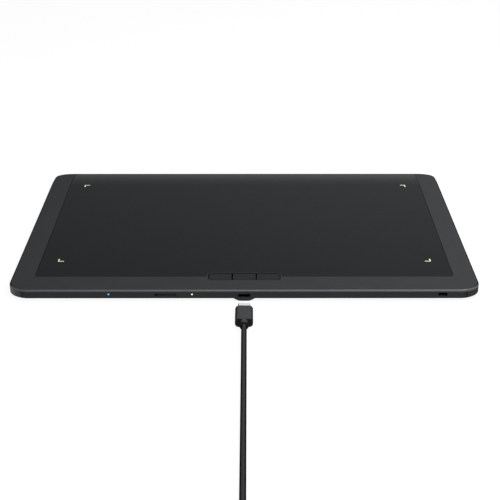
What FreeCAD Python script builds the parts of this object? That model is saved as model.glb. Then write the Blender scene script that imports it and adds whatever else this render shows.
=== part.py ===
# A slim pen tablet with its data cable, in millimetres.
# The origin is on the table, under the middle of the tablet. +Z is up, +X is to the right
# and the edge with the port faces -Y. The palm edge, at +Y, curves gently down.

import FreeCAD
import Part
import Sketcher
import math
import os
import re

Vector = FreeCAD.Vector
Rotation = FreeCAD.Rotation
Placement = FreeCAD.Placement
Rule = Sketcher.Constraint

# Driving sizes
SIZES = {
    # the case as a whole
    "case_wide": 320.0,
    "case_deep": 229.0,
    "body_tall": 8.2,
    "foot_proud": 0.8,
    "rim_tall": 6.05,
    "corner_r": 14.0,
    "corner_least": 0.5,
    "top_round": 1.56,
    "wall": 1.6,
    "round_left": 0.03,
    "palm_long": 33.5,
    "palm_r": 160.0,
    # running and seating clearances
    "seat_gap": 0.05,
    "slide_gap": 0.1,
    "key_gap": 0.5,
    # bottom cover
    "cover_wall": 1.2,
    "cover_edge": 0.7,
    "cover_inset": 1.0,
    "cover_lip": 4.5,
    "taper_inset": 12.0,
    "bump_top": 15.6,
    "bump_flat": 7.4,
    "bump_round": 4.0,
    "bump_past": 1.5,
    # rubber feet
    "foot_long": 34.0,
    "foot_deep": 9.0,
    "foot_sunk": 0.4,
    "foot_in_x": 42.0,
    "foot_in_y": 22.5,
    # drawing film and the lit corner marks
    "film_thick": 0.4,
    "film_side": 16.0,
    "film_near": 20.7,
    "film_far": 1.8,
    "film_gap": 0.15,
    "film_round": 1.2,
    "film_near_round": 2.5,
    "film_far_round": 6.0,
    "film_border": 1.0,
    "active_near": 44.92,
    "active_side": 28.1,
    "active_far": 2.3,
    "mark_long": 4.2,
    "mark_wide": 0.9,
    "mark_led_in": 1.6,
    "mark_led_wide": 1.6,
    "mark_led_deep": 0.6,
    "mark_led_tall": 0.4,
    "mark_led_gap": 0.1,
    # keys
    "key_side_wide": 15.85,
    "key_mid_wide": 15.8,
    "key_deep": 9.85,
    "key_near": 15.55,
    "key_split": 0.7,
    "key_round": 2.2,
    "key_inner_round": 0.4,
    "key_soft": 0.3,
    "key_sink": 0.1,
    "key_travel": 0.4,
    "flange_over": 0.7,
    "flange_thick": 0.8,
    "key_bar_long": 5.0,
    "key_bar_wide": 1.0,
    "plunger_d": 2.0,
    "key_switch_wide": 4.5,
    "key_switch_tall": 0.8,
    "key_switch_floor": 0.15,
    "key_switch_well_d": 2.2,
    # digitizer stack under the deck
    "grid_margin_x": 6.1,
    "grid_margin_near": 10.4,
    "grid_thick": 0.8,
    "grid_round": 3.0,
    "shield_thick": 0.2,
    "shield_in": 1.0,
    "plate_thick": 0.6,
    "plate_back": 6.0,
    "plate_in": 2.0,
    # main board
    "board_x0": -105.0,
    "board_wide": 150.0,
    "board_near": 3.0,
    "board_deep": 28.0,
    "board_thick": 0.8,
    "board_drop": 2.3,
    "board_round": 1.0,
    "board_post_in": 6.0,
    "board_post_d": 4.0,
    # radio shield can
    "can_x": 14.0,
    "can_y": 13.0,
    "can_wide": 13.0,
    "can_deep": 12.0,
    "can_tall": 1.5,
    "can_wall": 0.2,
    "can_round": 0.8,
    # ribbon between the two boards
    "flex_x": 34.0,
    "flex_wide": 22.0,
    "flex_thick": 0.2,
    "flex_bend": 1.2,
    "connector_over": 1.0,
    "connector_deep": 3.0,
    "near_connector_in": 2.0,
    "near_connector_tall": 1.0,
    "far_connector_in": 1.5,
    "far_connector_tall": 0.9,
    # port
    "port_high": 4.9,
    "port_wide": 8.34,
    "port_tall": 2.56,
    "port_wall": 0.3,
    "port_web": 0.6,
    "port_long": 7.6,
    "port_hole_gap": 0.08,
    "wing_out": 0.6,
    "wing_wide": 2.2,
    "wing_deep": 2.0,
    "wing_thick": 0.3,
    "wing_back": 1.0,
    "tongue_wide": 6.69,
    "tongue_thick": 0.7,
    "tongue_back": 1.45,
    "tongue_base": 1.2,
    # power slider
    "knob_long": 12.0,
    "knob_tall": 1.6,
    "knob_x0": -58.15,
    "knob_high": 5.3,
    "knob_travel": 1.8,
    "knob_end_gap": 0.35,
    "knob_slot_gap": 0.15,
    "knob_sink": 0.2,
    "knob_round": 0.4,
    "rib_in": 2.05,
    "rib_pitch": 1.34,
    "rib_groove": 0.6,
    "rib_depth": 0.45,
    "slide_plate": 0.8,
    "slide_plate_over": 0.5,
    "slide_plate_left": 1.5,
    "slide_plate_right": 0.3,
    "lever_wide": 2.0,
    "lever_tall": 0.8,
    "lever_low": 0.05,
    "lever_in": 1.2,
    "lever_gap": 0.25,
    "slide_switch_back": 0.6,
    "slide_switch_left": 6.0,
    "slide_switch_right": 4.2,
    "slide_switch_deep": 3.6,
    "slide_switch_tall": 1.7,
    # status lights
    "light_d": 1.4,
    "light_high": 5.67,
    "light_collar": 0.5,
    "link_light_x": -91.3,
    "power_light_x": -35.1,
    "led_wide": 1.6,
    "led_deep": 0.8,
    "led_tall": 1.1,
    # lock slot
    "lock_in": 26.25,
    "lock_high": 5.6,
    "lock_wide": 6.0,
    "lock_tall": 2.5,
    "slot_round": 0.5,
    "lock_plate": 1.0,
    "lock_plate_wide": 12.0,
    "lock_plate_low": 1.2,
    "lock_plate_back": 8.0,
    "lock_slot_gap": 0.1,
    "stake_d": 1.6,
    "stake_out": 3.0,
    "stake_back": 4.0,
    "stake_past": 0.3,
    # screws
    "screw_d": 2.0,
    "screw_hole_gap": 0.1,
    "screw_head_d": 3.8,
    "screw_head_tall": 0.7,
    "screw_long": 4.4,
    "screw_in": 16.0,
    "far_screw_x": 48.0,
    "board_screw_in": 1.6,
    "drive_d": 1.2,
    "drive_deep": 0.4,
    "pilot_past": 0.3,
    "post_d": 5.0,
    # battery
    "cell_wide": 96.0,
    "cell_deep": 60.0,
    "cell_thick": 3.4,
    "cell_x0": 28.0,
    "cell_near": 52.5,
    "cell_round": 2.0,
    "cell_soft": 0.8,
    "cell_plug_side": 13.0,
    "cell_plug_in": 3.0,
    "cell_plug_wide": 7.0,
    "cell_plug_deep": 4.0,
    "cell_plug_tall": 1.4,
    "wire_d": 0.9,
    "wire_apart": 2.4,
    "wire_out": 6.0,
    "wire_down": 5.0,
    # plug at the tablet's end of the cable
    "plug_away": 20.0,
    "plug_wide": 8.25,
    "plug_tall": 2.4,
    "plug_wall": 0.25,
    "plug_long": 6.65,
    "plug_sunk": 2.0,
    "mould_wide": 11.75,
    "mould_tall": 6.2,
    "mould_long": 19.2,
    "mould_round": 2.6,
    "mould_front_round": 0.8,
    "mould_rear_round": 0.3,
    "neck_d": 6.1,
    "neck_long": 4.2,
    "neck_round": 0.3,
    "core_back": 0.2,
    "tongue_slot_deep": 5.4,
    "tongue_side_gap": 0.15,
    "tongue_face_gap": 0.1,
    # cable
    "cord_d": 3.6,
    "cord_out": 12.0,
    "cord_fall": 24.0,
    "coil_run": 12.0,
    "coil_rise": 18.0,
    "loop_gap": 0.55,
    "loop_out_r": 23.65,
    "layer_turns": 2.5,
    "coil_y": -382.0,
    "coil_lift": 0.55,
    "tail_out": 12.0,
    "tail_fall": 38.0,
    "tail_end": 12.0,
    "tie_wide": 4.0,
    "tie_thick": 0.4,
    "tie_face_gap": 0.15,
    "tie_side_gap": 0.35,
    "tie_round": 1.4,
    # plug at the far end of the cable
    "far_wide": 12.0,
    "far_tall": 4.5,
    "far_wall": 0.3,
    "far_long": 18.75,
    "far_round": 0.5,
    "far_sunk": 3.0,
    "far_mould_wide": 15.4,
    "far_mould_tall": 7.8,
    "far_mould_long": 21.0,
    "far_mould_round": 2.4,
    "far_rear_round": 1.5,
    "far_front_round": 0.5,
    "far_neck_d": 6.0,
    "far_neck_tip": 1.2,
    "far_neck_long": 8.0,
    "window_wide": 2.3,
    "window_long": 2.2,
    "window_out": 2.75,
    "window_in": 5.5,
    "far_core_long": 7.0,
    "shelf_thick": 1.85,
    "shelf_gap": 0.05,
    "shelf_side_gap": 0.1,
    "shelf_back": 0.5,
    "strip_wide": 1.0,
    "strip_thick": 0.2,
    "strip_back": 1.5,
}

# Places that follow from the driving sizes
PLACES = {
    "side_x": "case_wide / 2",
    "near_y": "-case_deep / 2",
    "far_y": "case_deep / 2",
    "top_z": "foot_proud + body_tall",
    "rim_z": "top_z - rim_tall",
    "deck_z": "top_z - wall",
    "floor_z": "foot_proud + cover_wall",
    "palm_y": "far_y - palm_long",
    "wall_y": "near_y + wall",
    "film_x": "side_x - film_side",
    "film_y0": "near_y + film_near",
    "film_y1": "far_y - film_far",
    "mark_x": "side_x - active_side",
    "mark_y0": "near_y + active_near",
    "mark_y1": "palm_y - active_far",
    "key_x1": "key_mid_wide / 2 + key_split + key_side_wide",
    "key_y0": "near_y + key_near",
    "key_y1": "key_y0 + key_deep",
    "key_y": "key_y0 + key_deep / 2",
    "key_z": "top_z - key_sink",
    "flange_z1": "deck_z - slide_gap",
    "flange_z0": "flange_z1 - flange_thick",
    "grid_x": "mark_x + grid_margin_x",
    "grid_y0": "mark_y0 - grid_margin_near",
    "grid_z": "deck_z - grid_thick",
    "shield_z": "grid_z - shield_thick",
    "plate_z": "shield_z - plate_thick",
    "plate_y0": "grid_y0 + plate_back",
    "board_z1": "deck_z - board_drop",
    "board_z0": "board_z1 - board_thick",
    "board_y0": "near_y + board_near",
    "board_y1": "board_y0 + board_deep",
    "board_x1": "board_x0 + board_wide",
    "plunger_z": "board_z1 + key_switch_floor + key_travel + slide_gap",
    "port_y0": "near_y + port_web",
    "port_y1": "port_y0 + port_long",
    "port_out_wide": "port_wide + 2 * port_wall",
    "port_out_tall": "port_tall + 2 * port_wall",
    "knob_x1": "knob_x0 + knob_long",
    "knob_x": "knob_x0 + knob_long / 2",
    "slot_x0": "knob_x0 - knob_travel - knob_end_gap",
    "slot_x1": "knob_x1 + knob_end_gap",
    "light_y": "near_y + board_near - seat_gap",
    "lock_x": "side_x - lock_in",
    "lock_x0": "lock_x - lock_wide / 2",
    "lock_x1": "lock_x + lock_wide / 2",
    "lock_z0": "lock_high - lock_tall / 2",
    "lock_z1": "lock_high + lock_tall / 2",
    "screw_tip_z": "foot_proud + screw_long",
    "cell_y0": "near_y + cell_near",
    "plug_y1": "near_y - plug_away",
    "mould_y0": "plug_y1 - mould_long",
    "cord_y": "mould_y0 - neck_long",
    "cord_r": "cord_d / 2",
    "loop_step": "cord_d + loop_gap",
}

# Chips on the main board: place along and across it, then width, depth and height
CHIPS = {
    "processor": (66, 14, 9, 9, 0.9),
    "memory": (42, 13, 6, 5, 0.8),
    "charger": (131, 12, 4, 4, 0.8),
    "inductor": (138, 13, 4, 4, 1.2),
    "crystal": (56, 13, 3.2, 2.5, 0.7),
}

# Counts, and the places of the far plug's contacts across it
GROOVE_COUNT = 8
COIL_LAYERS = 4
CLIMB_TURNS = 0.5
CONTACTS_X = (-3.5, -1, 1, 3.5)

# How far a cut or a fused part reaches past a face, and where cuts from outside start
OVER = 0.1
CUT_PAST = 0.3
CUT_FROM = 1
OUTSIDE = 10
# How near two lengths count as the same
NEARLY = 0.01

doc = FreeCAD.newDocument("pen_tablet")
sizes = doc.addObject("Spreadsheet::Sheet", "Sizes")
for row, (word, value) in enumerate(list(SIZES.items()) + list(PLACES.items()), 1):
    sizes.set(f"A{row}", word)
    sizes.set(f"B{row}", str(value) if word in SIZES else f"={value}")
    sizes.setAlias(f"B{row}", word)
doc.recompute()

NODES = {}


def size(expression):
    """The number that an expression of sheet names gives."""
    value = sizes.evalExpression(str(expression))
    return float(getattr(value, "Value", value))


def linked(expression):
    """The expression with each sheet name pointing at the sheet."""
    def point(match):
        word = match.group(0)
        return f"Sizes.{word}" if word in SIZES or word in PLACES else word
    return re.sub(r"[a-z_][a-z_0-9]*", point, str(expression))


def bind(thing, path, expression):
    thing.setExpression(path, linked(expression))


def keep(thing, name):
    """Names a finished sub-part and lists it for writing."""
    thing.Label = name
    NODES[name] = thing
    return thing


def new_body(name):
    return doc.addObject("PartDesign::Body", name)


# Sketches

def rounded(x0, x1, y0, y1, r):
    """Corners of a rectangle with one radius."""
    return [(x0, y0, r), (x1, y0, r), (x1, y1, r), (x0, y1, r)]


def sharp(x0, x1, y0, y1):
    """Corners of a rectangle without a radius."""
    return [(x0, y0), (x1, y0), (x1, y1), (x0, y1)]


def new_sketch(body, name, plane, level):
    """A sketch on one of the body's origin planes, moved along its normal to a level."""
    sketch = body.newObject("Sketcher::SketchObject", name)
    origin = next(f for f in body.Origin.OriginFeatures if f.Role == plane)
    sketch.AttachmentSupport = (origin, [""])
    sketch.MapMode = "FlatFace"
    bind(sketch, "AttachmentOffset.Base.z", f"-({level})" if plane == "XZ_Plane" else level)
    return sketch


def fix_point(sketch, geometry, point, x, y):
    """Ties a point of the sketch to expressions for its two coordinates."""
    for kind, expression in (("DistanceX", x), ("DistanceY", y)):
        rule = sketch.addConstraint(Rule(kind, -1, 1, geometry, point, size(expression)))
        bind(sketch, f"Constraints[{rule}]", expression)


def add_circle(sketch, x, y, diameter):
    circle = Part.Circle(Vector(size(x), size(y), 0), Vector(0, 0, 1), size(diameter) / 2)
    ring = sketch.addGeometry(circle, False)
    fix_point(sketch, ring, 3, x, y)
    rule = sketch.addConstraint(Rule("Diameter", ring, size(diameter)))
    bind(sketch, f"Constraints[{rule}]", diameter)


def corner_arc(before, here, after, radius):
    """Tangent points, centre and turn direction of the arc that rounds a corner."""
    into = (here - before).normalize()
    out = (after - here).normalize()
    turn = into.x * out.y - into.y * out.x
    half = into.getAngle(out) / 2
    reach = radius * math.tan(half)
    side = Vector(-into.y, into.x, 0) * (1 if turn > 0 else -1)
    start = here - into * reach
    return start, here + out * reach, start + side * radius, turn > 0


def add_wire(sketch, corners):
    """A closed outline. Each corner is (x, y) or (x, y, radius), all of them expressions."""
    count = len(corners)
    points = [Vector(size(c[0]), size(c[1]), 0) for c in corners]
    arcs = []
    for i, corner in enumerate(corners):
        arc = None
        if len(corner) == 3:
            arc = corner_arc(points[i - 1], points[i], points[(i + 1) % count], size(corner[2]))
        arcs.append(arc)
    lines = []
    for i in range(count):
        j = (i + 1) % count
        start = arcs[i][1] if arcs[i] else points[i]
        end = arcs[j][0] if arcs[j] else points[j]
        lines.append(sketch.addGeometry(Part.LineSegment(start, end), False))
    for i, corner in enumerate(corners):
        before, after = lines[i - 1], lines[i]
        if not arcs[i]:
            sketch.addConstraint(Rule("Coincident", before, 2, after, 1))
            fix_point(sketch, after, 1, corner[0], corner[1])
            continue
        start, end, centre, left = arcs[i]
        first, last = (start, end) if left else (end, start)
        angles = [math.atan2(p.y - centre.y, p.x - centre.x) for p in (first, last)]
        circle = Part.Circle(centre, Vector(0, 0, 1), size(corner[2]))
        arc = sketch.addGeometry(Part.ArcOfCircle(circle, angles[0], angles[1]), False)
        sketch.addConstraint(Rule("Tangent", before, 2, arc, 1 if left else 2))
        sketch.addConstraint(Rule("Tangent", after, 1, arc, 2 if left else 1))
        rule = sketch.addConstraint(Rule("Radius", arc, size(corner[2])))
        bind(sketch, f"Constraints[{rule}]", corner[2])
        tip = sketch.addGeometry(Part.Point(points[i]), True)
        sketch.addConstraint(Rule("PointOnObject", tip, 1, before))
        sketch.addConstraint(Rule("PointOnObject", tip, 1, after))
        fix_point(sketch, tip, 1, corner[0], corner[1])


def outline(body, name, plane, level, *wires):
    sketch = new_sketch(body, name, plane, level)
    for corners in wires:
        add_wire(sketch, corners)
    return sketch


def circles(body, name, plane, level, diameter, places):
    sketch = new_sketch(body, name, plane, level)
    for x, y in places:
        add_circle(sketch, x, y, diameter)
    return sketch


# Features

def pad(body, name, sketch, length, back=False, middle=False):
    """Grows a sketch along its normal, or against it, or both ways from the middle."""
    feature = body.newObject("PartDesign::Pad", name)
    feature.Profile = sketch
    bind(feature, "Length", length)
    feature.Reversed = back
    if middle:
        feature.SideType = "Symmetric"
    doc.recompute()
    return feature


def pocket(body, name, sketch, length=None, back=False):
    """Cuts a sketch out against its normal, or along it. Without a length it cuts through."""
    before = body.Shape.Volume
    feature = body.newObject("PartDesign::Pocket", name)
    feature.Profile = sketch
    feature.Reversed = back
    if length is None:
        feature.Type = "ThroughAll"
        feature.SideType = "Symmetric"
    else:
        bind(feature, "Length", length)
    doc.recompute()
    if not before - body.Shape.Volume > 1e-4:
        raise ValueError(f"{name} of {body.Label} cuts nothing")
    return feature


def loft(body, name, sketches, kind="PartDesign::AdditiveLoft"):
    feature = body.newObject(kind, name)
    feature.Profile = sketches[0]
    feature.Sections = sketches[1:]
    feature.Ruled = True
    doc.recompute()
    return feature


def round_edges(body, name, radius, wanted):
    """Rounds the edges of the body's tip for which wanted(edge) is true."""
    base = body.Tip
    chosen = [f"Edge{i}" for i, edge in enumerate(base.Shape.Edges, 1) if wanted(edge)]
    feature = body.newObject("PartDesign::Fillet", name)
    feature.Base = (base, chosen)
    bind(feature, "Radius", radius)
    doc.recompute()
    return feature


def box(name, x0, x1, y0, y1, z0, z1):
    block = doc.addObject("Part::Box", name)
    for side, low, high in (("Length", x0, x1), ("Width", y0, y1), ("Height", z0, z1)):
        bind(block, side, f"({high}) - ({low})")
    for axis, low in (("x", x0), ("y", y0), ("z", z0)):
        bind(block, f"Placement.Base.{axis}", low)
    return block


def rod(name, x, y, z, diameter, length, axis="Z"):
    """A round bar that starts at a point and runs along +Z or +Y."""
    bar = doc.addObject("Part::Cylinder", name)
    if axis == "Y":
        bar.Placement = Placement(Vector(), Rotation(Vector(1, 0, 0), -90))
    bind(bar, "Radius", f"({diameter}) / 2")
    bind(bar, "Height", length)
    for way, low in (("x", x), ("y", y), ("z", z)):
        bind(bar, f"Placement.Base.{way}", low)
    return bar


def fused(name, parts):
    whole = doc.addObject("Part::MultiFuse", name)
    whole.Shapes = parts
    return whole


def cut(name, base, tool):
    rest = doc.addObject("Part::Cut", name)
    rest.Base = base
    rest.Tool = tool
    return rest


def group(name, parts):
    """Separate solids that share one node."""
    together = doc.addObject("Part::Compound", name)
    together.Links = parts
    return together


def plate(name, z0, thick, *wires):
    """A flat piece cut to an outline."""
    body = new_body(name)
    pad(body, "sheet", outline(body, "plan", "XY_Plane", z0, *wires), thick)
    return keep(body, name)


# Shapes that several sub-parts share

def plan_at(inset):
    """The case's plan, drawn in by an inset on every side."""
    return rounded(
        f"-side_x + {inset}", f"side_x - {inset}", f"near_y + {inset}", f"far_y - {inset}",
        f"max(corner_r - {inset}; corner_least)",
    )


def port_shape(grow):
    """The port's opening in the rim's plane, with full round ends."""
    high = f"port_tall / 2 + {grow}"
    wide = f"port_wide / 2 + {grow}"
    return rounded(f"-({wide})", wide, f"port_high - ({high})", f"port_high + {high}",
                   f"{high} - seat_gap")


def plug_shape(shrink):
    """The plug's section, in line with the port."""
    high = f"plug_tall / 2 - {shrink}"
    wide = f"plug_wide / 2 - {shrink}"
    return rounded(f"-({wide})", wide, f"port_high - ({high})", f"port_high + {high}",
                   f"{high} - seat_gap")


def palm_band(body, name, low, high, y0):
    """A strip that follows the top from y0 over the palm curve, between two depths below it."""
    sketch = new_sketch(body, name, "YZ_Plane", "0")
    centre = Vector(size("palm_y"), size("top_z - palm_r"), 0)
    past = 3.0
    arcs = []
    lines = []
    for depth in (low, high):
        radius = size(f"palm_r - ({depth})")
        if depth == low:
            end = math.acos((size("palm_long") + past) / radius)
        point = centre + Vector(math.cos(end), math.sin(end), 0) * radius
        circle = Part.Circle(centre, Vector(0, 0, 1), radius)
        arcs.append(sketch.addGeometry(Part.ArcOfCircle(circle, end, math.pi / 2), False))
        flat = centre + Vector(0, radius, 0)
        start = Vector(size(y0), flat.y, 0)
        lines.append((start, flat, point))
    for start, flat, point in lines:
        sketch.addGeometry(Part.LineSegment(start, flat), False)
    sketch.addGeometry(Part.LineSegment(lines[0][0], lines[1][0]), False)
    sketch.addGeometry(Part.LineSegment(lines[0][2], lines[1][2]), False)
    low_arc, high_arc, low_line, high_line, near_line, far_line = range(6)
    for arc, line in ((low_arc, low_line), (high_arc, high_line)):
        sketch.addConstraint(Rule("Coincident", line, 2, arc, 2))
        sketch.addConstraint(Rule("Horizontal", line))
    sketch.addConstraint(Rule("Coincident", low_line, 1, near_line, 1))
    sketch.addConstraint(Rule("Coincident", high_line, 1, near_line, 2))
    sketch.addConstraint(Rule("Coincident", low_arc, 1, far_line, 1))
    sketch.addConstraint(Rule("Coincident", high_arc, 1, far_line, 2))
    sketch.addConstraint(Rule("Vertical", near_line))
    sketch.addConstraint(Rule("Coincident", low_arc, 3, high_arc, 3))
    sketch.addConstraint(Rule("PointOnObject", low_arc, 3, far_line))
    fix_point(sketch, low_arc, 3, "palm_y", "top_z - palm_r")
    for arc, depth in ((low_arc, low), (high_arc, high)):
        sketch.addConstraint(Rule("Vertical", arc, 2, arc, 3))
        rule = sketch.addConstraint(Rule("Radius", arc, size(f"palm_r - ({depth})")))
        bind(sketch, f"Constraints[{rule}]", f"palm_r - ({depth})")
    for geometry, point, place in ((near_line, 1, y0), (low_arc, 1, f"far_y + {past}")):
        rule = sketch.addConstraint(Rule("DistanceX", -1, 1, geometry, point, size(place)))
        bind(sketch, f"Constraints[{rule}]", place)
    return sketch


def film_wire(grow):
    """The drawing film's outline, with its notch around the keys."""
    x = f"film_x + {grow}"
    y0 = f"film_y0 - {grow}"
    notch = f"key_x1 + key_gap + film_border - {grow}"
    notch_y = f"key_y1 + key_gap + film_border - {grow}"
    notch_r = f"key_round + key_gap + film_border - {grow}"
    return [
        (f"-({x})", y0, "film_near_round"),
        (f"-({notch})", y0, "film_round"),
        (f"-({notch})", notch_y, notch_r),
        (notch, notch_y, notch_r),
        (notch, y0, "film_round"),
        (x, y0, "film_near_round"),
        (x, f"film_y1 + {grow}", "film_far_round"),
        (f"-({x})", f"film_y1 + {grow}", "film_far_round"),
    ]


def film_body(name, grow, low, high):
    """A body in the film's outline that follows the palm curve between two depths."""
    body = new_body(name)
    start = f"film_y0 - {grow}"
    band = palm_band(body, "band", low, high, start)
    pad(body, "strip", band, f"2 * (film_x + {grow}) + {CUT_FROM}", middle=True)
    around = sharp(f"-side_x - {OUTSIDE}", f"side_x + {OUTSIDE}", f"near_y - {OUTSIDE}",
                   f"far_y + {OUTSIDE}")
    ring = outline(body, "ring", "XY_Plane", "0", around, film_wire(grow))
    pocket(body, "trim", ring)
    return body


def mark_wires(grow):
    """Four L shapes, one in each corner of the active area."""
    wires = []
    for sx in (-1, 1):
        for y, sy in (("mark_y0", -1), ("mark_y1", 1)):
            x_out = f"{sx} * (mark_x + {grow})"
            x_in = f"{sx} * (mark_x - mark_long - {grow})"
            x_leg = f"{sx} * (mark_x - mark_wide - {grow})"
            y_out = f"{y} + {sy} * {grow}"
            y_in = f"{y} - {sy} * (mark_long + {grow})"
            y_leg = f"{y} - {sy} * (mark_wide + {grow})"
            wires.append([(x_out, y_out), (x_in, y_out), (x_in, y_leg),
                          (x_leg, y_leg), (x_leg, y_in), (x_out, y_in)])
    return wires


def drop_at(y):
    """How far the palm curve lies below the flat top at a place along Y."""
    return f"(palm_r - sqrt(palm_r ^ 2 - ({y} - palm_y) ^ 2))"


SIDE_SCREWS_Y = ["near_y + screw_in", "near_y + screw_in + (case_deep - 2 * screw_in) / 3",
                 "far_y - screw_in - (case_deep - 2 * screw_in) / 3", "far_y - screw_in"]
FLAT_SCREWS = [(f"{side} * (side_x - screw_in)", y) for side in (-1, 1) for y in SIDE_SCREWS_Y[:3]]
FAR_SCREWS = [("-side_x + screw_in", SIDE_SCREWS_Y[3]), ("-far_screw_x", SIDE_SCREWS_Y[3]),
              ("far_screw_x", SIDE_SCREWS_Y[3]), ("side_x - screw_in", SIDE_SCREWS_Y[3])]
BOARD_POSTS = [(x, y) for x in ("board_x0 + board_post_in", "board_x1 - board_post_in")
               for y in ("board_y0 + board_post_in", "board_y1 - board_post_in")]
LOCK_STAKES = [(x, "wall_y + lock_plate + stake_back") for x in ("lock_x - stake_out",
                                                                 "lock_x + stake_out")]
KEYS = {
    "key_left": ("-key_x1", "-key_mid_wide / 2 - key_split", -1),
    "key_middle": ("-key_mid_wide / 2", "key_mid_wide / 2", 0),
    "key_right": ("key_mid_wide / 2 + key_split", "key_x1", 1),
}


# The tablet's own pieces

def on_rim(edge):
    """Whether an edge joins the top to the outer wall."""
    low, high = edge.ParameterRange
    for share in (0.25, 0.5, 0.75):
        p = edge.valueAt(low + (high - low) * share)
        drop = size(drop_at(f"max({p.y}; palm_y)"))
        if abs(p.z - (size("top_z") - drop)) > NEARLY:
            return False
        x = max(abs(p.x) - size("side_x - corner_r"), 0)
        y = max(abs(p.y) - size("far_y - corner_r"), 0)
        if abs(math.hypot(x, y) - size("corner_r")) > NEARLY:
            return False
    return True


def make_top_housing():
    body = new_body("upper_case")
    pad(body, "block", outline(body, "plan", "XY_Plane", "rim_z", plan_at("0")), "rim_tall")
    air = palm_band(body, "above_palm", "0", f"-{OUTSIDE}", f"palm_y - {NEARLY}")
    feature = body.newObject("PartDesign::Pocket", "palm_curve")
    feature.Profile = air
    feature.Type = "ThroughAll"
    feature.SideType = "Symmetric"
    doc.recompute()
    shell = body.newObject("PartDesign::Thickness", "hollow")
    lowest = [f"Face{i}" for i, face in enumerate(feature.Shape.Faces, 1)
              if face.BoundBox.ZMax < size("rim_z") + 0.001]
    shell.Base = (feature, lowest)
    bind(shell, "Value", "wall")
    shell.Reversed = True
    doc.recompute()
    round_edges(body, "soft_edge", "min(top_round; wall - round_left)", on_rim)

    # screw posts, board posts and the lock bracket's stakes hang from the deck
    posts = circles(body, "flat_posts", "XY_Plane", "floor_z", "post_d", FLAT_SCREWS)
    pad(body, "flat_post_rods", posts, "deck_z + wall / 2 - floor_z")
    posts = circles(body, "far_posts", "XY_Plane", "floor_z", "post_d", FAR_SCREWS)
    far_drop = drop_at("far_y - screw_in")
    pad(body, "far_post_rods", posts, f"deck_z + wall / 2 - floor_z - {far_drop}")
    posts = circles(body, "board_posts", "XY_Plane", "board_z1", "board_post_d", BOARD_POSTS)
    pad(body, "board_post_rods", posts, "deck_z + wall / 2 - board_z1")
    stakes = circles(body, "stakes", "XY_Plane", "deck_z - lock_plate - stake_past", "stake_d",
                     LOCK_STAKES)
    pad(body, "stake_rods", stakes, "lock_plate + stake_past + wall / 2")
    holes = circles(body, "pilots", "XY_Plane", f"floor_z - {OVER}", "screw_d",
                    FLAT_SCREWS + FAR_SCREWS)
    pocket(body, "pilot_holes", holes, f"screw_tip_z + pilot_past - floor_z + {OVER}", back=True)
    holes = circles(body, "board_pilots", "XY_Plane", f"board_z1 - {OVER}", "screw_d", BOARD_POSTS)
    pocket(body, "board_pilot_holes", holes, f"board_screw_in + pilot_past + {OVER}", back=True)

    # openings in the deck
    above, through = f"top_z + {CUT_FROM}", f"wall + {CUT_FROM} + {CUT_PAST}"
    around = "key_gap"
    keys = rounded(f"-key_x1 - {around}", f"key_x1 + {around}", f"key_y0 - {around}",
                   f"key_y1 + {around}", f"key_round + {around}")
    pocket(body, "key_opening", outline(body, "keys", "XY_Plane", above, keys), through)
    marks = outline(body, "marks", "XY_Plane", above, *mark_wires("seat_gap"))
    pocket(body, "mark_holes", marks, through)

    # openings in the rim
    ahead = f"near_y - {CUT_FROM}"
    hole = outline(body, "port", "XZ_Plane", ahead, port_shape("port_hole_gap"))
    pocket(body, "port_hole", hole, through)
    room = outline(body, "port_back", "XZ_Plane", "port_y0", port_shape("port_wall + slide_gap"))
    pocket(body, "port_room", room, f"wall - port_web + {OVER}")
    knob = rounded("slot_x0", "slot_x1", "knob_high - knob_tall / 2 - knob_slot_gap",
                   "knob_high + knob_tall / 2 + knob_slot_gap", "slot_round")
    pocket(body, "slider_slot", outline(body, "slider", "XZ_Plane", ahead, knob), through)
    slot = rounded("lock_x0", "lock_x1", "lock_z0", "lock_z1", "slot_round")
    pocket(body, "lock_slot", outline(body, "lock", "XZ_Plane", ahead, slot), through)
    lights = circles(body, "lights", "XZ_Plane", ahead, "light_d + 2 * seat_gap",
                     [("link_light_x", "light_high"), ("power_light_x", "light_high")])
    pocket(body, "light_holes", lights, through)

    recess = film_body("film_recess", "film_gap", "film_thick", f"-{OUTSIDE}")
    keep(cut("top_housing", body, recess), "top_housing")


def make_active_surface():
    body = film_body("film", "0", "film_thick", "0")
    marks = outline(body, "marks", "XY_Plane", f"top_z + {CUT_FROM}", *mark_wires("seat_gap"))
    pocket(body, "mark_holes", marks, f"film_thick + {CUT_FROM} + {CUT_PAST}")
    keep(body, "active_surface")


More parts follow.
